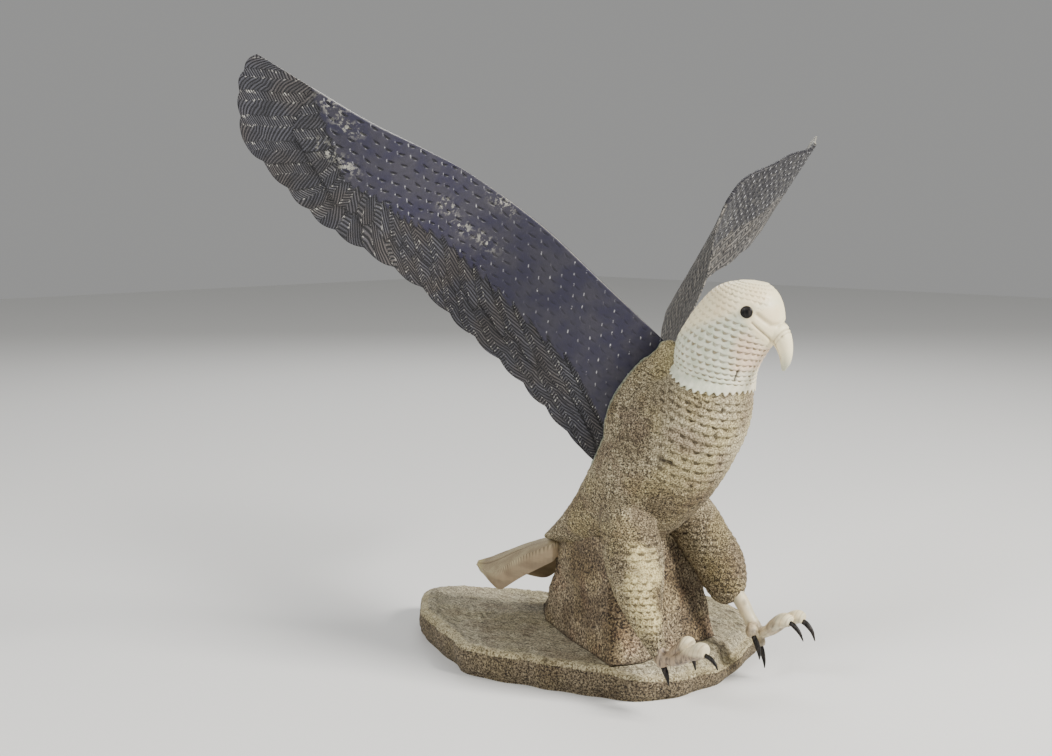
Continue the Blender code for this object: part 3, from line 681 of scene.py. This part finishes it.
def headRelief(item):
    points = readPoints(item.data)
    centre, side, rear, half, back, front = headRings(np.linspace(0, 1, 160))
    t = ringPlaces(points, centre, side, rear)
    centre, side, rear, half, back, front = headRings(t)
    out = points - centre
    x, y = (out * side).sum(1), (out * rear).sum(1)
    angle = np.arctan2(y / np.where(y > 0, back, front), x / half)
    forward, across = headAxes(np.array(headForm["turn"]))
    flat = points - np.array([0, headForm["footY"], 0])
    f, s, z = flat @ forward, flat @ across, points[:, 2]
    # rows of small scales with their tips down, over the neck and the back of the skull, faint on the crown
    form = headForm
    around = turns(angle, form["teeth"]) + 0.12 * cloud(points, 9, 30)
    down = -t * form["neckLong"] / form["rowPitch"] + 0.14 * cloud(points, 10, 31)
    face = ramp(f + 0.5 * (z - 243), 21, 28) * (1 - ramp(z - 0.35 * f, 249, 256))
    crown = ramp(z - 0.35 * f, 249, 258)
    neck = (1 - face) * (1 - crown * 0.55) * (1 - ramp(f, 27, 32))
    slope, cut = scoops(around, down, *form["scale"])
    flatPoints = np.stack([f, -abs(s), z], 1)
    mouth = grooves(flatPoints, [(23, -19.1, 252.4), (25.7, -17.4, 249.3), (28.5, -14.3, 246), (30.6, -9.2, 242.5),
                                 (32.2, -4.5, 238.4), (34.3, -2.8, 233.3), (35.5, -2.3, 229.5)], 0.8)
    brow = grooves(flatPoints, [(25.6, -17.4, 257.5), (29.1, -14.4, 253.7), (32.3, -10.6, 250.8), (34.9, -5.3, 250.9),
                                (36.4, 0, 251.5)], 1.7)
    # folds of skin round the root of the beak
    onward = 0.75 * f - 0.65 * (z - 245) + 0.12 * abs(s)
    fold = (bump(onward, 28.2, 0.5) + 0.7 * bump(onward, 30.2, 0.4)) * ramp(f, 31.5, 33.5) * ramp(z, 234, 238)
    nostril = bump(away(flatPoints, [37.5, -5.4, 243.3]), 0, 1)
    crack = grooves(points, [(-11.2, -133.8, 221.1), (-11.5, -132.4, 218), (-11.5, -131.4, 215.2)], 0.8)
    crack = np.maximum(crack, bump(away(points, [-15.4, -130.8, 270.1]), 0, 0.7))
    near = np.minimum(away(points, eyeSpot(-1)), away(points, eyeSpot(1)))
    neck = neck * ramp(near, 5.5, 9)
    height = ((slope - 0.5) - cut * 0.9) * form["scaleDeep"] * neck - brow * 1.5 - mouth * 1.1 - fold * 0.6
    height += bump(near, 6.6, 1.4) * 0.25 - nostril * 0.8 - crack
    height += cloud(points, 9, 9) * 0.12 * (1 - neck)
    # painted shade in the brow, mouth, folds and nostril
    paintedCavityShade = np.clip(brow * 0.6 + mouth * 0.8 + fold * 0.6 + nostril, 0, 1)
    # painted shade down one side of the neck, away from the face and crown
    shaded = (1 - face) * ramp(-x * half / 26 * 24 + cloud(points, 14, 10) * 5, -2, 16) * (1 - crown)
    throat = ramp(f - 0.3 * (z - 220) + 3 * cloud(points, 9, 11), 4, 13) * (1 - ramp(z, 240, 252)) * (1 - face)
    # painted shade round the lower rim of the neck, where it meets the body
    rim = 1 - ramp(z, 218, 224)
    carve(item, height,
          {"paintedCavityShade": paintedCavityShade, "shaded": np.clip(shaded + rim * 0.8, 0, 1), "throat": throat * (1 - rim * 0.7),
           "beakEnd": (1 - ramp(z, 222, 236)) * ramp(f, 31, 34) * 0.85, "crack": crack, "neck": neck,
           "scale": np.stack([around, down], 1)}, {"scale": form["teeth"]})


head = meltPieces([gridPiece("headCarved", 340, headForm["rows"], headPlace), gridPiece("beak", 60, 50, beakPlace)],
                  headForm["cell"], 2)
headRelief(head)


def eyePiece(name, mark):
    form = headForm
    spot = eyeSpot(mark)
    forward, side = headAxes(np.array(form["turn"]))
    out = unit(side * mark + forward * 0.25)
    along = unit(np.cross(out, [0, 0, 1.0]))
    up = np.cross(along, out)
    rows = 22

    def place(u, w):
        row = np.rint(w * rows)
        k = np.clip((row - 2) / (rows - 2), 0, 1)
        radius = np.where(row == 0, 0, np.cos(k * math.pi / 2)) * form["eyeRadius"]
        lift = np.where(row < 2, -form["eyeSet"], np.sin(k * math.pi / 2) * form["eyeDome"])
        return spot + out * lift[:, None] + ringRound(along, up, u) * radius[:, None], {}
    return gridPiece(name, 40, rows, place)


eyes = {mark: eyePiece(name, mark) for mark, name in ((-1, "eyeRight"), (1, "eyeLeft"))}
print("stage: head")

# wings: flat plates of baleen, carved on both sides in rows of feathers
wingForm = {
    "columns": 24, "rows": 110, "inset": 0.997, "thick": 3, "thin": 1.1, "bulge": 7, "leftDrop": 30,
    "scallop": 2.4, "tipScallops": 4, "root": 2 / 42, "frontIn": (-3.5, 0.5, -6), "rearIn": (-6, -3, -6),
    "front": [(8, -70, 236), (54, -57, 275), (91, -38, 312), (138, -25, 343), (180, -28, 358), (227, -24, 376),
              (278, 4, 410)],
    "rear": [(36, -26, 158), (76, 3, 212), (112, 22, 250), (150, 10.5, 272), (188, 6, 292), (232, 14, 319), (279, 19, 362)],
    "notches": [0, 0.045, 0.095, 0.148, 0.208, 0.275, 0.362, 0.508, 0.628, 0.718, 0.788, 0.85, 0.9, 0.955, 1],
    "shafts": [0, 0.1, 0.2, 0.29, 0.37, 0.44, 0.508, 0.57, 0.628, 0.718, 0.788, 0.85, 0.9, 0.955, 1],
    "slant": ([0, 0.1, 0.3, 0.5, 0.62, 0.72, 0.78, 0.86, 1], [1.1, 1, 0.75, 0.44, 0.44, 0.2, 0, -0.2, -0.2]),
    "coverts": ([0, 0.018, 0.09, 0.192, 0.305, 0.408, 0.522, 0.668, 0.74, 0.81, 0.848, 0.88, 0.908, 0.94, 1],
                [0.74, 0.72, 0.595, 0.595, 0.58, 0.57, 0.545, 0.575, 0.53, 0.55, 0.37, 0.21, 0.04, -0.1, -0.1]),
    "spanPerShare": ([0, 0.1, 0.3, 0.5, 0.7, 0.85, 1], [430, 420, 311, 273, 292, 369, 428]),
    "chord": ([0, 0.1, 0.3, 0.5, 0.7, 0.85, 0.95, 1], [90, 90, 90, 80, 74, 67, 56, 50]),
    # lattice of small cuts: pitch along and across, half length, sag, thickness
    "lattice": {-1: (10, 6.2, 2.7, 0.5, 0.8), 1: (7, 5.2, 1.8, 0.3, 1.9)},
    "chalk": [(0.883, 0.045), (0.85, 0.13), (0.822, 0.435), (0.86, 0.42), (0.545, 0.315), (0.482, 0.38), (0.41, 0.36),
              (0.422, 0.04)],
}


def wingMiddle(u, w, mark, drop):
    form = wingForm
    inside = np.maximum(u, 0.0)
    front = alongCurve(form["front"], inside)
    rear = alongCurve(form["rear"], inside)
    deep = (np.maximum(-u, 0) / form["root"])[:, None]
    front = front + form["frontIn"] * deep
    rear = rear + form["rearIn"] * deep
    chord = rear - front
    share = np.interp(u, form["notches"], np.arange(len(form["notches"])))
    wave = np.where((u > 0) & (u < 1), np.sin(math.pi * (share - np.floor(share))), 0)
    point = front + chord * w[:, None]
    reach = (wave - 0.6) * form["scallop"] * np.minimum(1.0, 12 * inside) * np.maximum(0.0, w * 3 - 2)
    point = point + unit(chord) * reach[:, None]
    ahead = unit(alongCurve(form["front"], 1.0) - alongCurve(form["front"], 0.93))
    edge = abs(np.sin(math.pi * form["tipScallops"] * w)) * form["scallop"] * 0.6
    out = (form["bulge"] * np.maximum(np.sin(math.pi * w ** 0.75), 0) ** 1.2 + edge) * np.maximum(0.0, u * 5 - 4) ** 2
    point = point + ahead * out[:, None]
    point[:, 2] -= drop * (1 - w) * np.maximum(0.0, (u - 0.72) / 0.28) ** 1.5
    point[:, 0] *= mark
    return point


def featherField(u, w, mark):
    form = wingForm
    notches = np.array(form["shafts"])
    slant = np.interp(u, *form["slant"])
    line = u - slant * (1 - w)
    numbers = np.arange(len(notches))
    q = np.where(line > 1, numbers[-1] + (line - 1) / 0.052, np.interp(line, notches, numbers))
    q = np.where(line < 0, line / 0.1, q)
    spacing = np.interp(line, 0.5 * (notches[1:] + notches[:-1]), np.diff(notches))
    span = np.interp(u, *form["spanPerShare"])
    chord = np.interp(u, *form["chord"])

    # across a feather, in millimetres, allowing for the way the slant itself changes
    slope = (np.interp(u + 0.02, *form["slant"]) - np.interp(u - 0.02, *form["slant"])) / 0.04
    spread = np.maximum(1 - slope * (1 - w), 0.6)
    wide = spacing / spread * span * chord / np.hypot(slant / spread * span, chord)
    first = np.interp(u, *form["coverts"])
    if mark > 0:
        first = first - 1.2 * ramp(0.43 - u, 0, 0.06)
    second = np.where(first < 0, -0.5, 0.5 * (first + 1))

    def tips(q):
        return abs(np.sin(math.pi * (q - np.floor(q))))
    first = first + 0.05 * (tips(q * 1.5) - 0.4) * (first > 0)
    second = second + 0.07 * (tips(q + 0.5) - 0.5) * (u < 0.78)
    coverts = w < first
    lower = (w > second) & ~coverts
    number, part = np.divmod(np.where(lower, q, q + 0.5), 1)
    # along a feather, in millimetres from its tip, on the straight line of its own shaft
    table = np.linspace(0, 1, 101)
    reach = np.cumsum(np.interp(table, *form["spanPerShare"])) / 101

    def spanAt(u):
        return np.interp(u, table, reach) + np.minimum(u, 0) * 430
    tip = np.interp(number + 0.6 - 0.5 * ~lower, numbers, notches) + 0.1 * np.minimum(number + 0.6, 0)
    inner = tip
    for _ in range(8):
        inner = tip + 0.4 * np.interp(inner, *form["slant"])
    dx, dy = spanAt(inner) - spanAt(tip), -0.4 * chord
    r = -((spanAt(u) - spanAt(tip)) * dx + (w - 1) * chord * dy) / np.hypot(dx, dy)
    vane = 0.36 * (1 - part) - 0.18 + 0.2 * bump(part, 0.4, 0.035)
    step = 0.55 * ramp(np.where(coverts, -1, (w - first) * chord), 0, 0.8) + 0.55 * ramp((w - second) * chord, 0, 0.8)
    lattice = form["lattice"][mark]
    a = spanAt(u) / lattice[0]
    b = w * chord / lattice[1] + 0.15 * np.sin(a * 1.7)
    notch = 0.35 + 0.65 * ramp(u, 0.1, 0.6) if mark < 0 else 1 + 0 * u
    height = np.where(coverts, 0.1 - scoops(a, b, *lattice)[1] * notch * 0.4, vane) - step
    # painted shadow below each row's step and a painted shade line at each feather's edge
    shadow = np.exp(-np.maximum(w - first, 0) * chord)
    shadow = np.maximum(shadow, np.where(lower, np.exp(-(w - second) * chord), 0))
    paintedCavityShade = np.where(coverts, 0, np.maximum(shadow * 0.7, ramp(part, 0.975, 1.0) * 0.4))
    chalk = np.zeros_like(u)
    for cu, cw in form["chalk"]:
        chalk = np.maximum(chalk, np.exp(-(((u - cu) * span / 8) ** 2 + ((w - cw) * chord / 4) ** 2)))
    return height, {"plume": np.stack([q, r], 1), "vane": np.stack([wide, lower * 1.0], 1), "scale": np.stack([a, b], 1),
                    "notch": notch, "band": ramp((w - first) * chord, -0.3, 0.9), "outer": ramp(u, 0.7, 0.82),
                    "paintedCavityShade": paintedCavityShade, "worn": chalk}


def wingPiece(name, mark):
    form = wingForm
    n = form["rows"]
    across = np.linspace(0, 1, n)
    ring = np.concatenate([[0], across, across[::-1], [0]])
    face = np.concatenate([[0], -np.ones(n), np.ones(n), [0]])
    cols = form["columns"] * (len(form["notches"]) - 1) + 14

    def middle(u, w):
        return wingMiddle(u, w, mark, form["leftDrop"] if mark > 0 else 0.0)

    def place(u, w):
        k = np.rint(w * (len(ring) - 1)).astype(int)
        col = np.rint(u * cols)
        end = (col == 0) | (col == cols)
        share = (np.clip(col, 1, cols - 1) - 1) / (cols - 2) * (1 + form["root"]) - form["root"]
        here = np.where(share > 0, np.interp(share, np.linspace(0, 1, len(form["notches"])), form["notches"]), share)
        at, side = ring[k], np.where(end, 0, face[k])
        e = 0.004
        du = middle(np.minimum(here + e, 1), at) - middle(np.minimum(here + e, 1) - 2 * e, at)
        dw = middle(here, np.minimum(at + e, 1)) - middle(here, np.maximum(at - e, 0))
        normal = unit(np.cross(du, dw)) * mark
        half = 0.5 * (form["thick"] - (form["thick"] - form["thin"]) * ramp(at, 0.9, 1.0))
        height, values = featherField(here, at, mark)
        height = height * ramp(here, -0.01, 0.01) * (1 - ramp(at, 0.985, 1.0) * 0.6)
        height = np.where(at < 0.03, np.minimum(height, 0), height)
        reach = np.where(side == 0, 0, np.maximum(half + height, 0.35))
        # painted highlight along the front edge of the plate, and on the far wing over the front of its tip
        values["rim"] = np.where((at < 0.004) & (side == 0), (0.95 if mark < 0 else 0.2) + 0 * at, 0.0)
        if mark > 0:
            values["rim"] = np.maximum(values["rim"], 0.75 * ramp(here, 0.87, 0.92) * (1 - ramp(at, 0.4, 0.7)))
            values["worn"] = np.maximum(values["worn"] * 0.5, 0.12)
        values["grey"] = 0 * here if mark < 0 else 0.9 - 0.35 * values["band"] * ramp(here, 0.4, 0.5)
        return (middle(here, at) + normal * (reach * side)[:, None]) * (form["inset"], 1, 1), values
    return gridPiece(name, cols, len(ring) - 1, place)


bodyRelief(body)
print("stage: body")
wings = {mark: wingPiece(name, mark) for mark, name in ((-1, "wingRight"), (1, "wingLeft"))}
print("stage: wings")

# tail: an arched plate with a ridge along it and barbs slanting from the ridge
tailForm = {
    "arch": 11, "cols": 230, "rows": 150, "ridge": 0.9, "slope": 0.8, "point": 18,
    "stations": [(24, 89, 16, 13), (42, 83.5, 20, 15), (65, 75, 23, 15), (88, 65, 24, 13), (104, 58, 20, 9.5),
                 (118, 52.5, 6, 5)],
}


def tailPlace(u, w):
    form = tailForm
    t, end = capped(form["rows"], w)
    y, z, half, thick = alongCurve(form["stations"], t).T
    c, s = np.cos(tau * u), np.sin(tau * u)
    x = half * np.sign(c) * np.minimum(1.0, abs(c) * 1.2)
    lift = thick / 2 * np.sign(s) * np.minimum(1.0, abs(s) * 2.0)
    x, lift = np.where(end, 0, x), np.where(end, 0, lift)
    points = np.stack([x, y, z - thick / 2 + lift], 1)
    top = ramp(s, 0.1, 0.5)
    late = ramp(t, 0.15, 1.0)
    points[:, 2] -= form["arch"] * (x / 24) ** 2 * (1 - late * 0.5)
    points[:, 1] -= late * (np.maximum(z - points[:, 2], 0) * form["slope"] + (abs(x) / 24) ** 1.2 * form["point"])
    # feathers of the tail: one long step on each side of the ridge
    step = ramp(abs(x) / half, 0.5, 0.53) * ramp(t, 0.3, 0.4)
    waves = cloud(points, 14, 12) * 0.25 + cloud(points, 3.5, 13) * 0.08
    points[:, 2] += (bump(x, 0, 1.5) * form["ridge"] - step * 0.5 - 0.3) * top
    points[:, 2] += waves * np.sign(s) * ramp(abs(s), 0.1, 0.4)
    # painted shade along the foot of each step on the top side
    return points, {"barb": np.stack([x, y], 1), "topSide": np.maximum(top, ramp(t, 0.86, 0.92)),
                    "paintedCavityShade": bump(abs(x) / half, 0.53, 0.02) * top, "tipEnd": ramp(t, 0.84, 0.95) * 0.7}


tail = gridPiece("tailPlate", tailForm["cols"], tailForm["rows"], tailPlace)

# feet: shank and four toes melted together, and their claws
footForm = {
    "cell": 0.44, "smooth": 3, "groove": 0.22,
    "shanks": {
        -1: [(48.5, -97, 50, 3.8), (49, -101, 44, 3.8), (49.5, -104, 38.5, 4), (49.5, -106, 34.5, 3.8)],
        1: [(47.5, -89, 61, 4.8), (48, -96, 52, 5), (48.5, -102, 43, 4.6), (49, -106.5, 36, 4.9), (49, -108.5, 31.5, 4.2)],
    },
    "toes": {
        -1: [[(49, -104, 37, 4), (46, -101, 34.5, 4), (43.5, -98.5, 32, 4.2), (42.5, -98, 29.5, 3)],
             [(49.5, -105, 38, 3.8), (50.5, -106, 35, 3.9), (51, -107, 32.5, 3.7), (51, -107.5, 30.5, 2.8)],
             [(49.5, -106, 36, 4), (48, -111, 37, 4), (46.5, -118, 43, 4.6), (46, -123, 48, 5), (46, -126, 47, 4)],
             [(49.5, -106, 36, 4), (50.5, -117, 37, 3.8), (52, -130, 44, 4.4), (52, -138.5, 48, 5.4),
              (52, -142.5, 47.5, 4.2)]],
        1: [[(49, -105, 36, 4), (44.5, -108, 36.5, 4.2), (41, -110.5, 35, 4.6), (40.5, -112.5, 32.5, 3.4)],
            [(49, -106, 35, 4), (50, -109, 30, 3.8), (50, -111, 26, 3.6), (50, -111.5, 23.5, 2.6)],
            [(49, -106, 33, 4.4), (48, -116, 34.5, 3.8), (47, -126, 43, 4.4), (47, -133, 47, 4.8), (47, -137.5, 46, 3.6)],
            [(49, -106, 33, 4.4), (52, -117, 35, 3.8), (55, -128, 43.5, 4.2), (56, -137, 48, 4.8), (56.5, -141.5, 47, 3.6)]],
    },
    "claws": {
        -1: [[(42.5, -98, 30.5, 1.6), (42, -99, 28, 1.7), (41.7, -100, 25.6, 1.2), (41.5, -100.6, 23.4, 0.3)],
             [(51, -106.5, 33, 1.8), (51, -109, 28.5, 2), (51, -111, 24, 1.4), (51, -112.5, 19.5, 0.3)],
             [(46, -124, 45.5, 1.6), (46, -127, 41, 1.8), (45.8, -128.5, 37, 1.2), (45.5, -129.5, 32, 0.3)],
             [(52, -142, 46, 1.4), (52, -146.5, 44.5, 1.5), (52, -150, 41.8, 1), (52, -152, 38.5, 0.3)]],
        1: [[(40.5, -111.5, 33.5, 1.7), (40, -115, 28, 1.9), (40.2, -117, 22, 1.3), (41, -117, 17, 0.3)],
            [(50, -111.2, 25, 1.5), (50, -113, 19, 1.7), (50, -114.5, 13.5, 1.1), (50, -115, 8.5, 0.3)],
            [(47, -136, 46, 1.5), (47, -140.5, 44, 1.7), (47, -145, 40, 1.2), (47, -148, 35, 0.3)],
            [(56.5, -138.5, 46, 1.6), (57, -143.5, 44, 1.9), (57.2, -148, 39.5, 1.3), (57.2, -150.5, 33.5, 0.3)]],
    },
}
feet, claws = {}, {}
for mark, word in ((-1, "Right"), (1, "Left")):
    parts = [tubePiece("foot" + word, sideOf(footForm["shanks"][mark], mark), 32, 40)]
    parts += [tubePiece("toe", sideOf(stations, mark), 32, 40) for stations in footForm["toes"][mark]]
    foot = meltPieces(parts, footForm["cell"], footForm["smooth"])
    points = readPoints(foot.data)
    rings = abs((away(points, [49 * mark, -100, 60]) / 3.4) % 1 - 0.5) * 2
    cut = (1 - ramp(rings, 0, 0.3)) * ramp(-points[:, 1], 108, 118)
    knob = ramp(-points[:, 1], 119, 123) if mark < 0 else ramp(-points[:, 1], 125, 131)
    knob = knob * ramp(points[:, 2], 43, 47)
    stain = (1 - knob) * (1.0 if mark < 0 else 0.8) + knob * 0.25
    if mark > 0:
        toes = cloud(points, 8, 27) + 0.5 * ramp(-points[:, 1], 104, 112)
        stain = np.maximum(stain * ramp(toes, -0.1, 0.45), 0.4 * (1 - knob))
    # painted shade in the ring grooves, with random darker patches
    carve(foot, cloud(points, 6, 14) * 0.2 - cut * footForm["groove"],
          {"paintedCavityShade": np.clip(cut * 0.5 + ramp(cloud(points, 7, 15), 0.1, 0.5) * 0.3, 0, 1), "stain": np.clip(stain, 0, 1),
           "shaded": ramp(cloud(points, 9, 16), 0, 0.4) * 0.5})
    feet[mark] = foot
    claws[mark] = [tubePiece(f"claw{word}{k + 1}", sideOf(stations, mark), 24, 26)
                   for k, stations in enumerate(footForm["claws"][mark])]
print("stage: feet")

# perch block and plinth: sawn and worn whalebone
blockForm = {
    "foot": [(-54, -64), (-34, -76), (50, -71), (57, -32), (46, 52), (26, 73), (-6, 42), (-34, -18)],
    "head": [(-34, -44), (-24, -54), (50, -54), (54, -30), (34, 20), (18, 22), (-12, 20), (-28, -16)],
    "low": 22.3, "high": 100, "cols": 320, "rows": 110,
}


def loopPoints(corners, u):
    corners = np.array(corners, float)
    n = len(corners)
    place = (u % 1.0) * n
    i = place.astype(int) % n
    f = (place - np.floor(place))[:, None]
    return corners[i] * (1 - f) + corners[(i + 1) % n] * f


def blockPlace(u, w):
    form = blockForm
    t, end = capped(form["rows"], w)
    z = form["low"] + (form["high"] - form["low"]) * t
    foot, top = loopPoints(form["foot"], u), loopPoints(form["head"], u)
    point = foot + (top - foot) * (t ** 0.9)[:, None]
    turn = tau * u
    shake = np.sin(5 * t * math.pi + 2 * turn) * np.sin(math.pi * t) + 0.8 * np.sin(5 * turn + 9 * t)
    point = point + unit(0.5 * (foot + top)) * shake[:, None]
    middle = np.where((t == 0)[:, None], np.mean(form["foot"], axis=0), np.mean(form["head"], axis=0))
    point = np.where(end[:, None], middle, point)
    points = np.column_stack([point, z])
    rough = cloud(points, 7, 17) * 0.35 + cloud(points, 2.6, 18) * 0.28
    pits = np.clip(-cloud(points, 3.4, 19) - 0.3, 0, 1)
    inward = unit(np.column_stack([point, z * 0])) * (rough - 0.5 - pits * 1.5)[:, None]
    points = points + np.where((end | (t <= 0) | (t >= 1))[:, None], 0, inward)
    # darker in random patches; painted shade in the pits and round the foot where the block meets the plinth
    darkToneAndPaintedShade = ramp(cloud(points, 26, 25), -0.1, 0.3) * 0.8
    return points, {"paintedCavityShade": np.clip(pits * 1.4 + (1 - ramp(z, 22.3, 24.5)) * 0.8, 0, 1), "darkToneAndPaintedShade": darkToneAndPaintedShade}


perch = gridPiece("perch", blockForm["cols"], blockForm["rows"], blockPlace)

plinthForm = {
    "high": 22, "frontHigh": 11, "frontAngle": -68, "frontWide": 62, "cols": 440, "rows": 130, "lip": 2.6,
    "radii": [138, 132, 124, 118, 118, 145, 172, 150, 122, 105, 100, 88, 80, 76, 77, 86, 96, 101, 101, 102, 107, 116,
              128, 137],
}


def plinthRadius(angle):
    radii = np.array(plinthForm["radii"], float)
    n = len(radii)
    place = (angle / (tau / n)) % n
    i = place.astype(int)
    smooth = cubic(*(radii[(i + k) % n] for k in (-1, 0, 1, 2)), place - i)
    return smooth + 1.2 * np.sin(9 * angle + 1) + 0.8 * np.sin(17 * angle)


def plinthPlace(u, w):
    form = plinthForm
    angle = tau * u
    r = plinthRadius(angle)
    front = math.radians(form["frontAngle"])
    low = np.maximum(0, 1 - abs((angle - front + math.pi) % tau - math.pi) / math.radians(form["frontWide"])) ** 0.6
    rim = form["high"] - (form["high"] - form["frontHigh"]) * low
    rise = form["high"] + 0 * r
    keys = [(0 * r, 0 * r), (0.5 * r, 0 * r), (0.965 * r, 0 * r), (r - 0.6, rim * 0.2), (r + 0.6, rim * 0.5), (r, rim * 0.8),
            (r - 2.2, rim - 0.6), (r - 5, rim), (r * 0.9, rim + (rise - rim) * 0.75), (r * 0.8, rise), (r * 0.4, rise),
            (0 * r, rise)]
    steps = [1, 2, 7, 7, 7, 5, 5, 12, 22, 48, 14]
    line = np.concatenate([[0], np.cumsum(steps)]) / sum(steps)
    place = np.interp(w, line, np.arange(len(keys)))
    k = np.minimum(place.astype(int), len(keys) - 2)
    f = place - k
    radius, z = (sum(np.where(k == j, keys[j][axis] * (1 - f) + keys[j + 1][axis] * f, 0) for j in range(len(keys) - 1))
                 for axis in (0, 1))
    points = np.stack([radius * np.cos(angle), radius * np.sin(angle), z], 1)
    bottom = place <= 2
    rough = cloud(points, 16, 20) * 0.5 + cloud(points, 4, 21) * 0.32
    pits = np.clip(-cloud(points, 5, 22) - 0.34, 0, 1)
    marks = np.maximum(grooves(points, [(-32.8, -94.4, 12.6), (-31, -95, 7), (-28.5, -93.6, 1.1)], 0.9),
                       grooves(points, [(-71.9, -22.1, 20.3), (-71, -21, 19.5)], 1.6))
    chip = bump(away(points, [-63, 96.2, 21.6]), 0, 5) * 1.6 + bump(away(points, [23.1, 144.2, 22]), 0, 5) * 2.2
    inward = np.minimum(rough - 0.7, 0) - pits * 1.4 - marks * 1.8 - chip
    outward = np.stack([np.cos(angle), np.sin(angle), 0 * z], 1)
    under = radius < 84
    points = points + outward * (inward * (1 - ramp(place, 6.0, 7.8)) * ~bottom)[:, None]
    uneven = cloud(points, 22, 28) * 0.8 + cloud(points @ [[0.8, 0.2, 0], [-0.6, 0.25, 0], [0, 0, 1]], 3.2, 29) * 1.1
    radial = np.hypot(points[:, 0], points[:, 1]) / r
    lip = bump(radial, 0.93, 0.05) * bump(angle, 1.9, 0.65) * form["lip"]
    points[:, 2] += np.where(under & (points[:, 1] < 80), inward * 0.3, inward * 0.6 + uneven - 0.5 + lip) * (place >= 6)
    # painted shade in pits and grooves, and down the plinth's side
    return points, {"paintedCavityShade": np.clip(pits * 1.5 + marks, 0, 1) * ~bottom,
                    "worn": 0.25 * ((place > 5) & (place < 7.3)), "smoothed": 0.5 * (place > 6),
                    "darkToneAndPaintedShade": np.where((place > 2) & (place < 5.2), 1, 0.15)}


plinth = gridPiece("plinthSlab", plinthForm["cols"], plinthForm["rows"], plinthPlace)
print("stage: plinth")

# what each piece stands for, and its look
boneLook = boneFinish("whaleboneCarved", tone(220, 210, 174), tone(154, 141, 112), tone(50, 41, 30), 1.4, 1.1,
                      (tone(250, 246, 214), tone(214, 204, 208)), True)
plinthLook = boneFinish("whalebonePlinth", tone(212, 204, 174), tone(154, 145, 121), tone(66, 57, 44), 1.7, 1.3,
                        (tone(246, 244, 226), tone(220, 212, 208)), brushed=1.6)
blockLook = boneFinish("whaleboneBlock", tone(198, 182, 148), tone(132, 117, 93), tone(50, 40, 31), 1.9, 1.5,
                       (tone(250, 246, 222), tone(240, 224, 220)))
ivoryLook = ivoryFinish("carvedIvory")
tailLook = tailFinish("tailIvory")
wingLooks = {mark: wingFinish(name, wingForm["lattice"][mark], *more)
             for mark, name, *more in ((-1, "baleenNear", 3.5, 1.0, 1.0, (0.15, 1.2), tone(72, 70, 72)),
                                       (1, "baleenFar", 2.6, 0.48, 0.5, (-0.8, 0.5), tone(34, 33, 36)))}
blackLook = hornFinish("blackBaleen", tone(10, 9, 9), 0.36)
pieces = [(body, "body", "whalebone", boneLook), (head, "head", "ivory", ivoryLook), (tail, "tail", "tail_ivory", tailLook),
          (perch, "perch_block", "block_whalebone", blockLook), (plinth, "plinth", "plinth_whalebone", plinthLook)]
for mark, word in ((-1, "right"), (1, "left")):
    pieces += [(wings[mark], word + "_wing", "baleen", wingLooks[mark]), (eyes[mark], word + "_eye", "baleen", blackLook),
               (feet[mark], word + "_foot", "ivory", ivoryLook)]
    pieces += [(claw, f"{word}_claw_{k + 1}", "baleen", blackLook) for k, claw in enumerate(claws[mark])]
for item, node, slot, look in pieces:
    item.data.materials.clear()
    item.data.materials.append(look)
    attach(item, "root")
    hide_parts(node)
print("stage: looks")

# floor, light and camera of the photograph
floor = gridPiece("floorSheet", 2, 2, lambda u, w: (np.column_stack([u - 0.5, w - 0.5, 0 * u]) * 8000, {}))
floorLook = Finish("paleFloor", 0.9)
floorLook.colour = tone(228, 228, 226)
floor.data.materials.append(floorLook.done())


def lamp(name, place, aim, size, power, colour=(1, 1, 1)):
    light = bpy.data.lights.new(name, "AREA")
    light.size = size
    light.energy = power
    light.color = colour
    item = bpy.data.objects.new(name, light)
    bpy.context.collection.objects.link(item)
    item.location = place
    item.rotation_euler = (Vector(aim) - Vector(place)).to_track_quat("-Z", "Y").to_euler()


lamp("keyLight", (0.45, -1.5, 1.25), (0, -0.05, 0.2), 0.5, 70, (1.0, 0.97, 0.92))
lamp("leftLight", (-1.7, 0.1, 1.4), (0, 0, 0.15), 0.8, 28, (1.0, 0.99, 0.98))
lamp("backLight", (1.2, 1.3, 1.4), (0, 0, 0.2), 1.0, 14)
world = bpy.data.worlds.new("studio") if not bpy.context.scene.world else bpy.context.scene.world
bpy.context.scene.world = world
world.use_nodes = True
world.node_tree.nodes["Background"].inputs[0].default_value = (0.84, 0.84, 0.83, 1)
world.node_tree.nodes["Background"].inputs[1].default_value = 0.38

view = {"place": (-0.7803, -0.7026, 0.330), "down": 6.827, "azimuth": 45.407, "lens": 51.38}
camera = bpy.data.objects.new("photoCamera", bpy.data.cameras.new("photoCamera"))
bpy.context.collection.objects.link(camera)
camera.data.lens = view["lens"]
camera.data.sensor_width = 36
a, tilt = math.radians(view["azimuth"]), math.radians(view["down"])
ahead = Vector((math.sin(a) * math.cos(tilt), math.cos(a) * math.cos(tilt), -math.sin(tilt)))
right = Vector((math.cos(a), -math.sin(a), 0))
up = right.cross(ahead)
camera.matrix_world = Matrix((*[(right[i], up[i], -ahead[i], view["place"][i]) for i in range(3)], (0, 0, 0, 1)))
bpy.context.scene.camera = camera
print("stage: view")
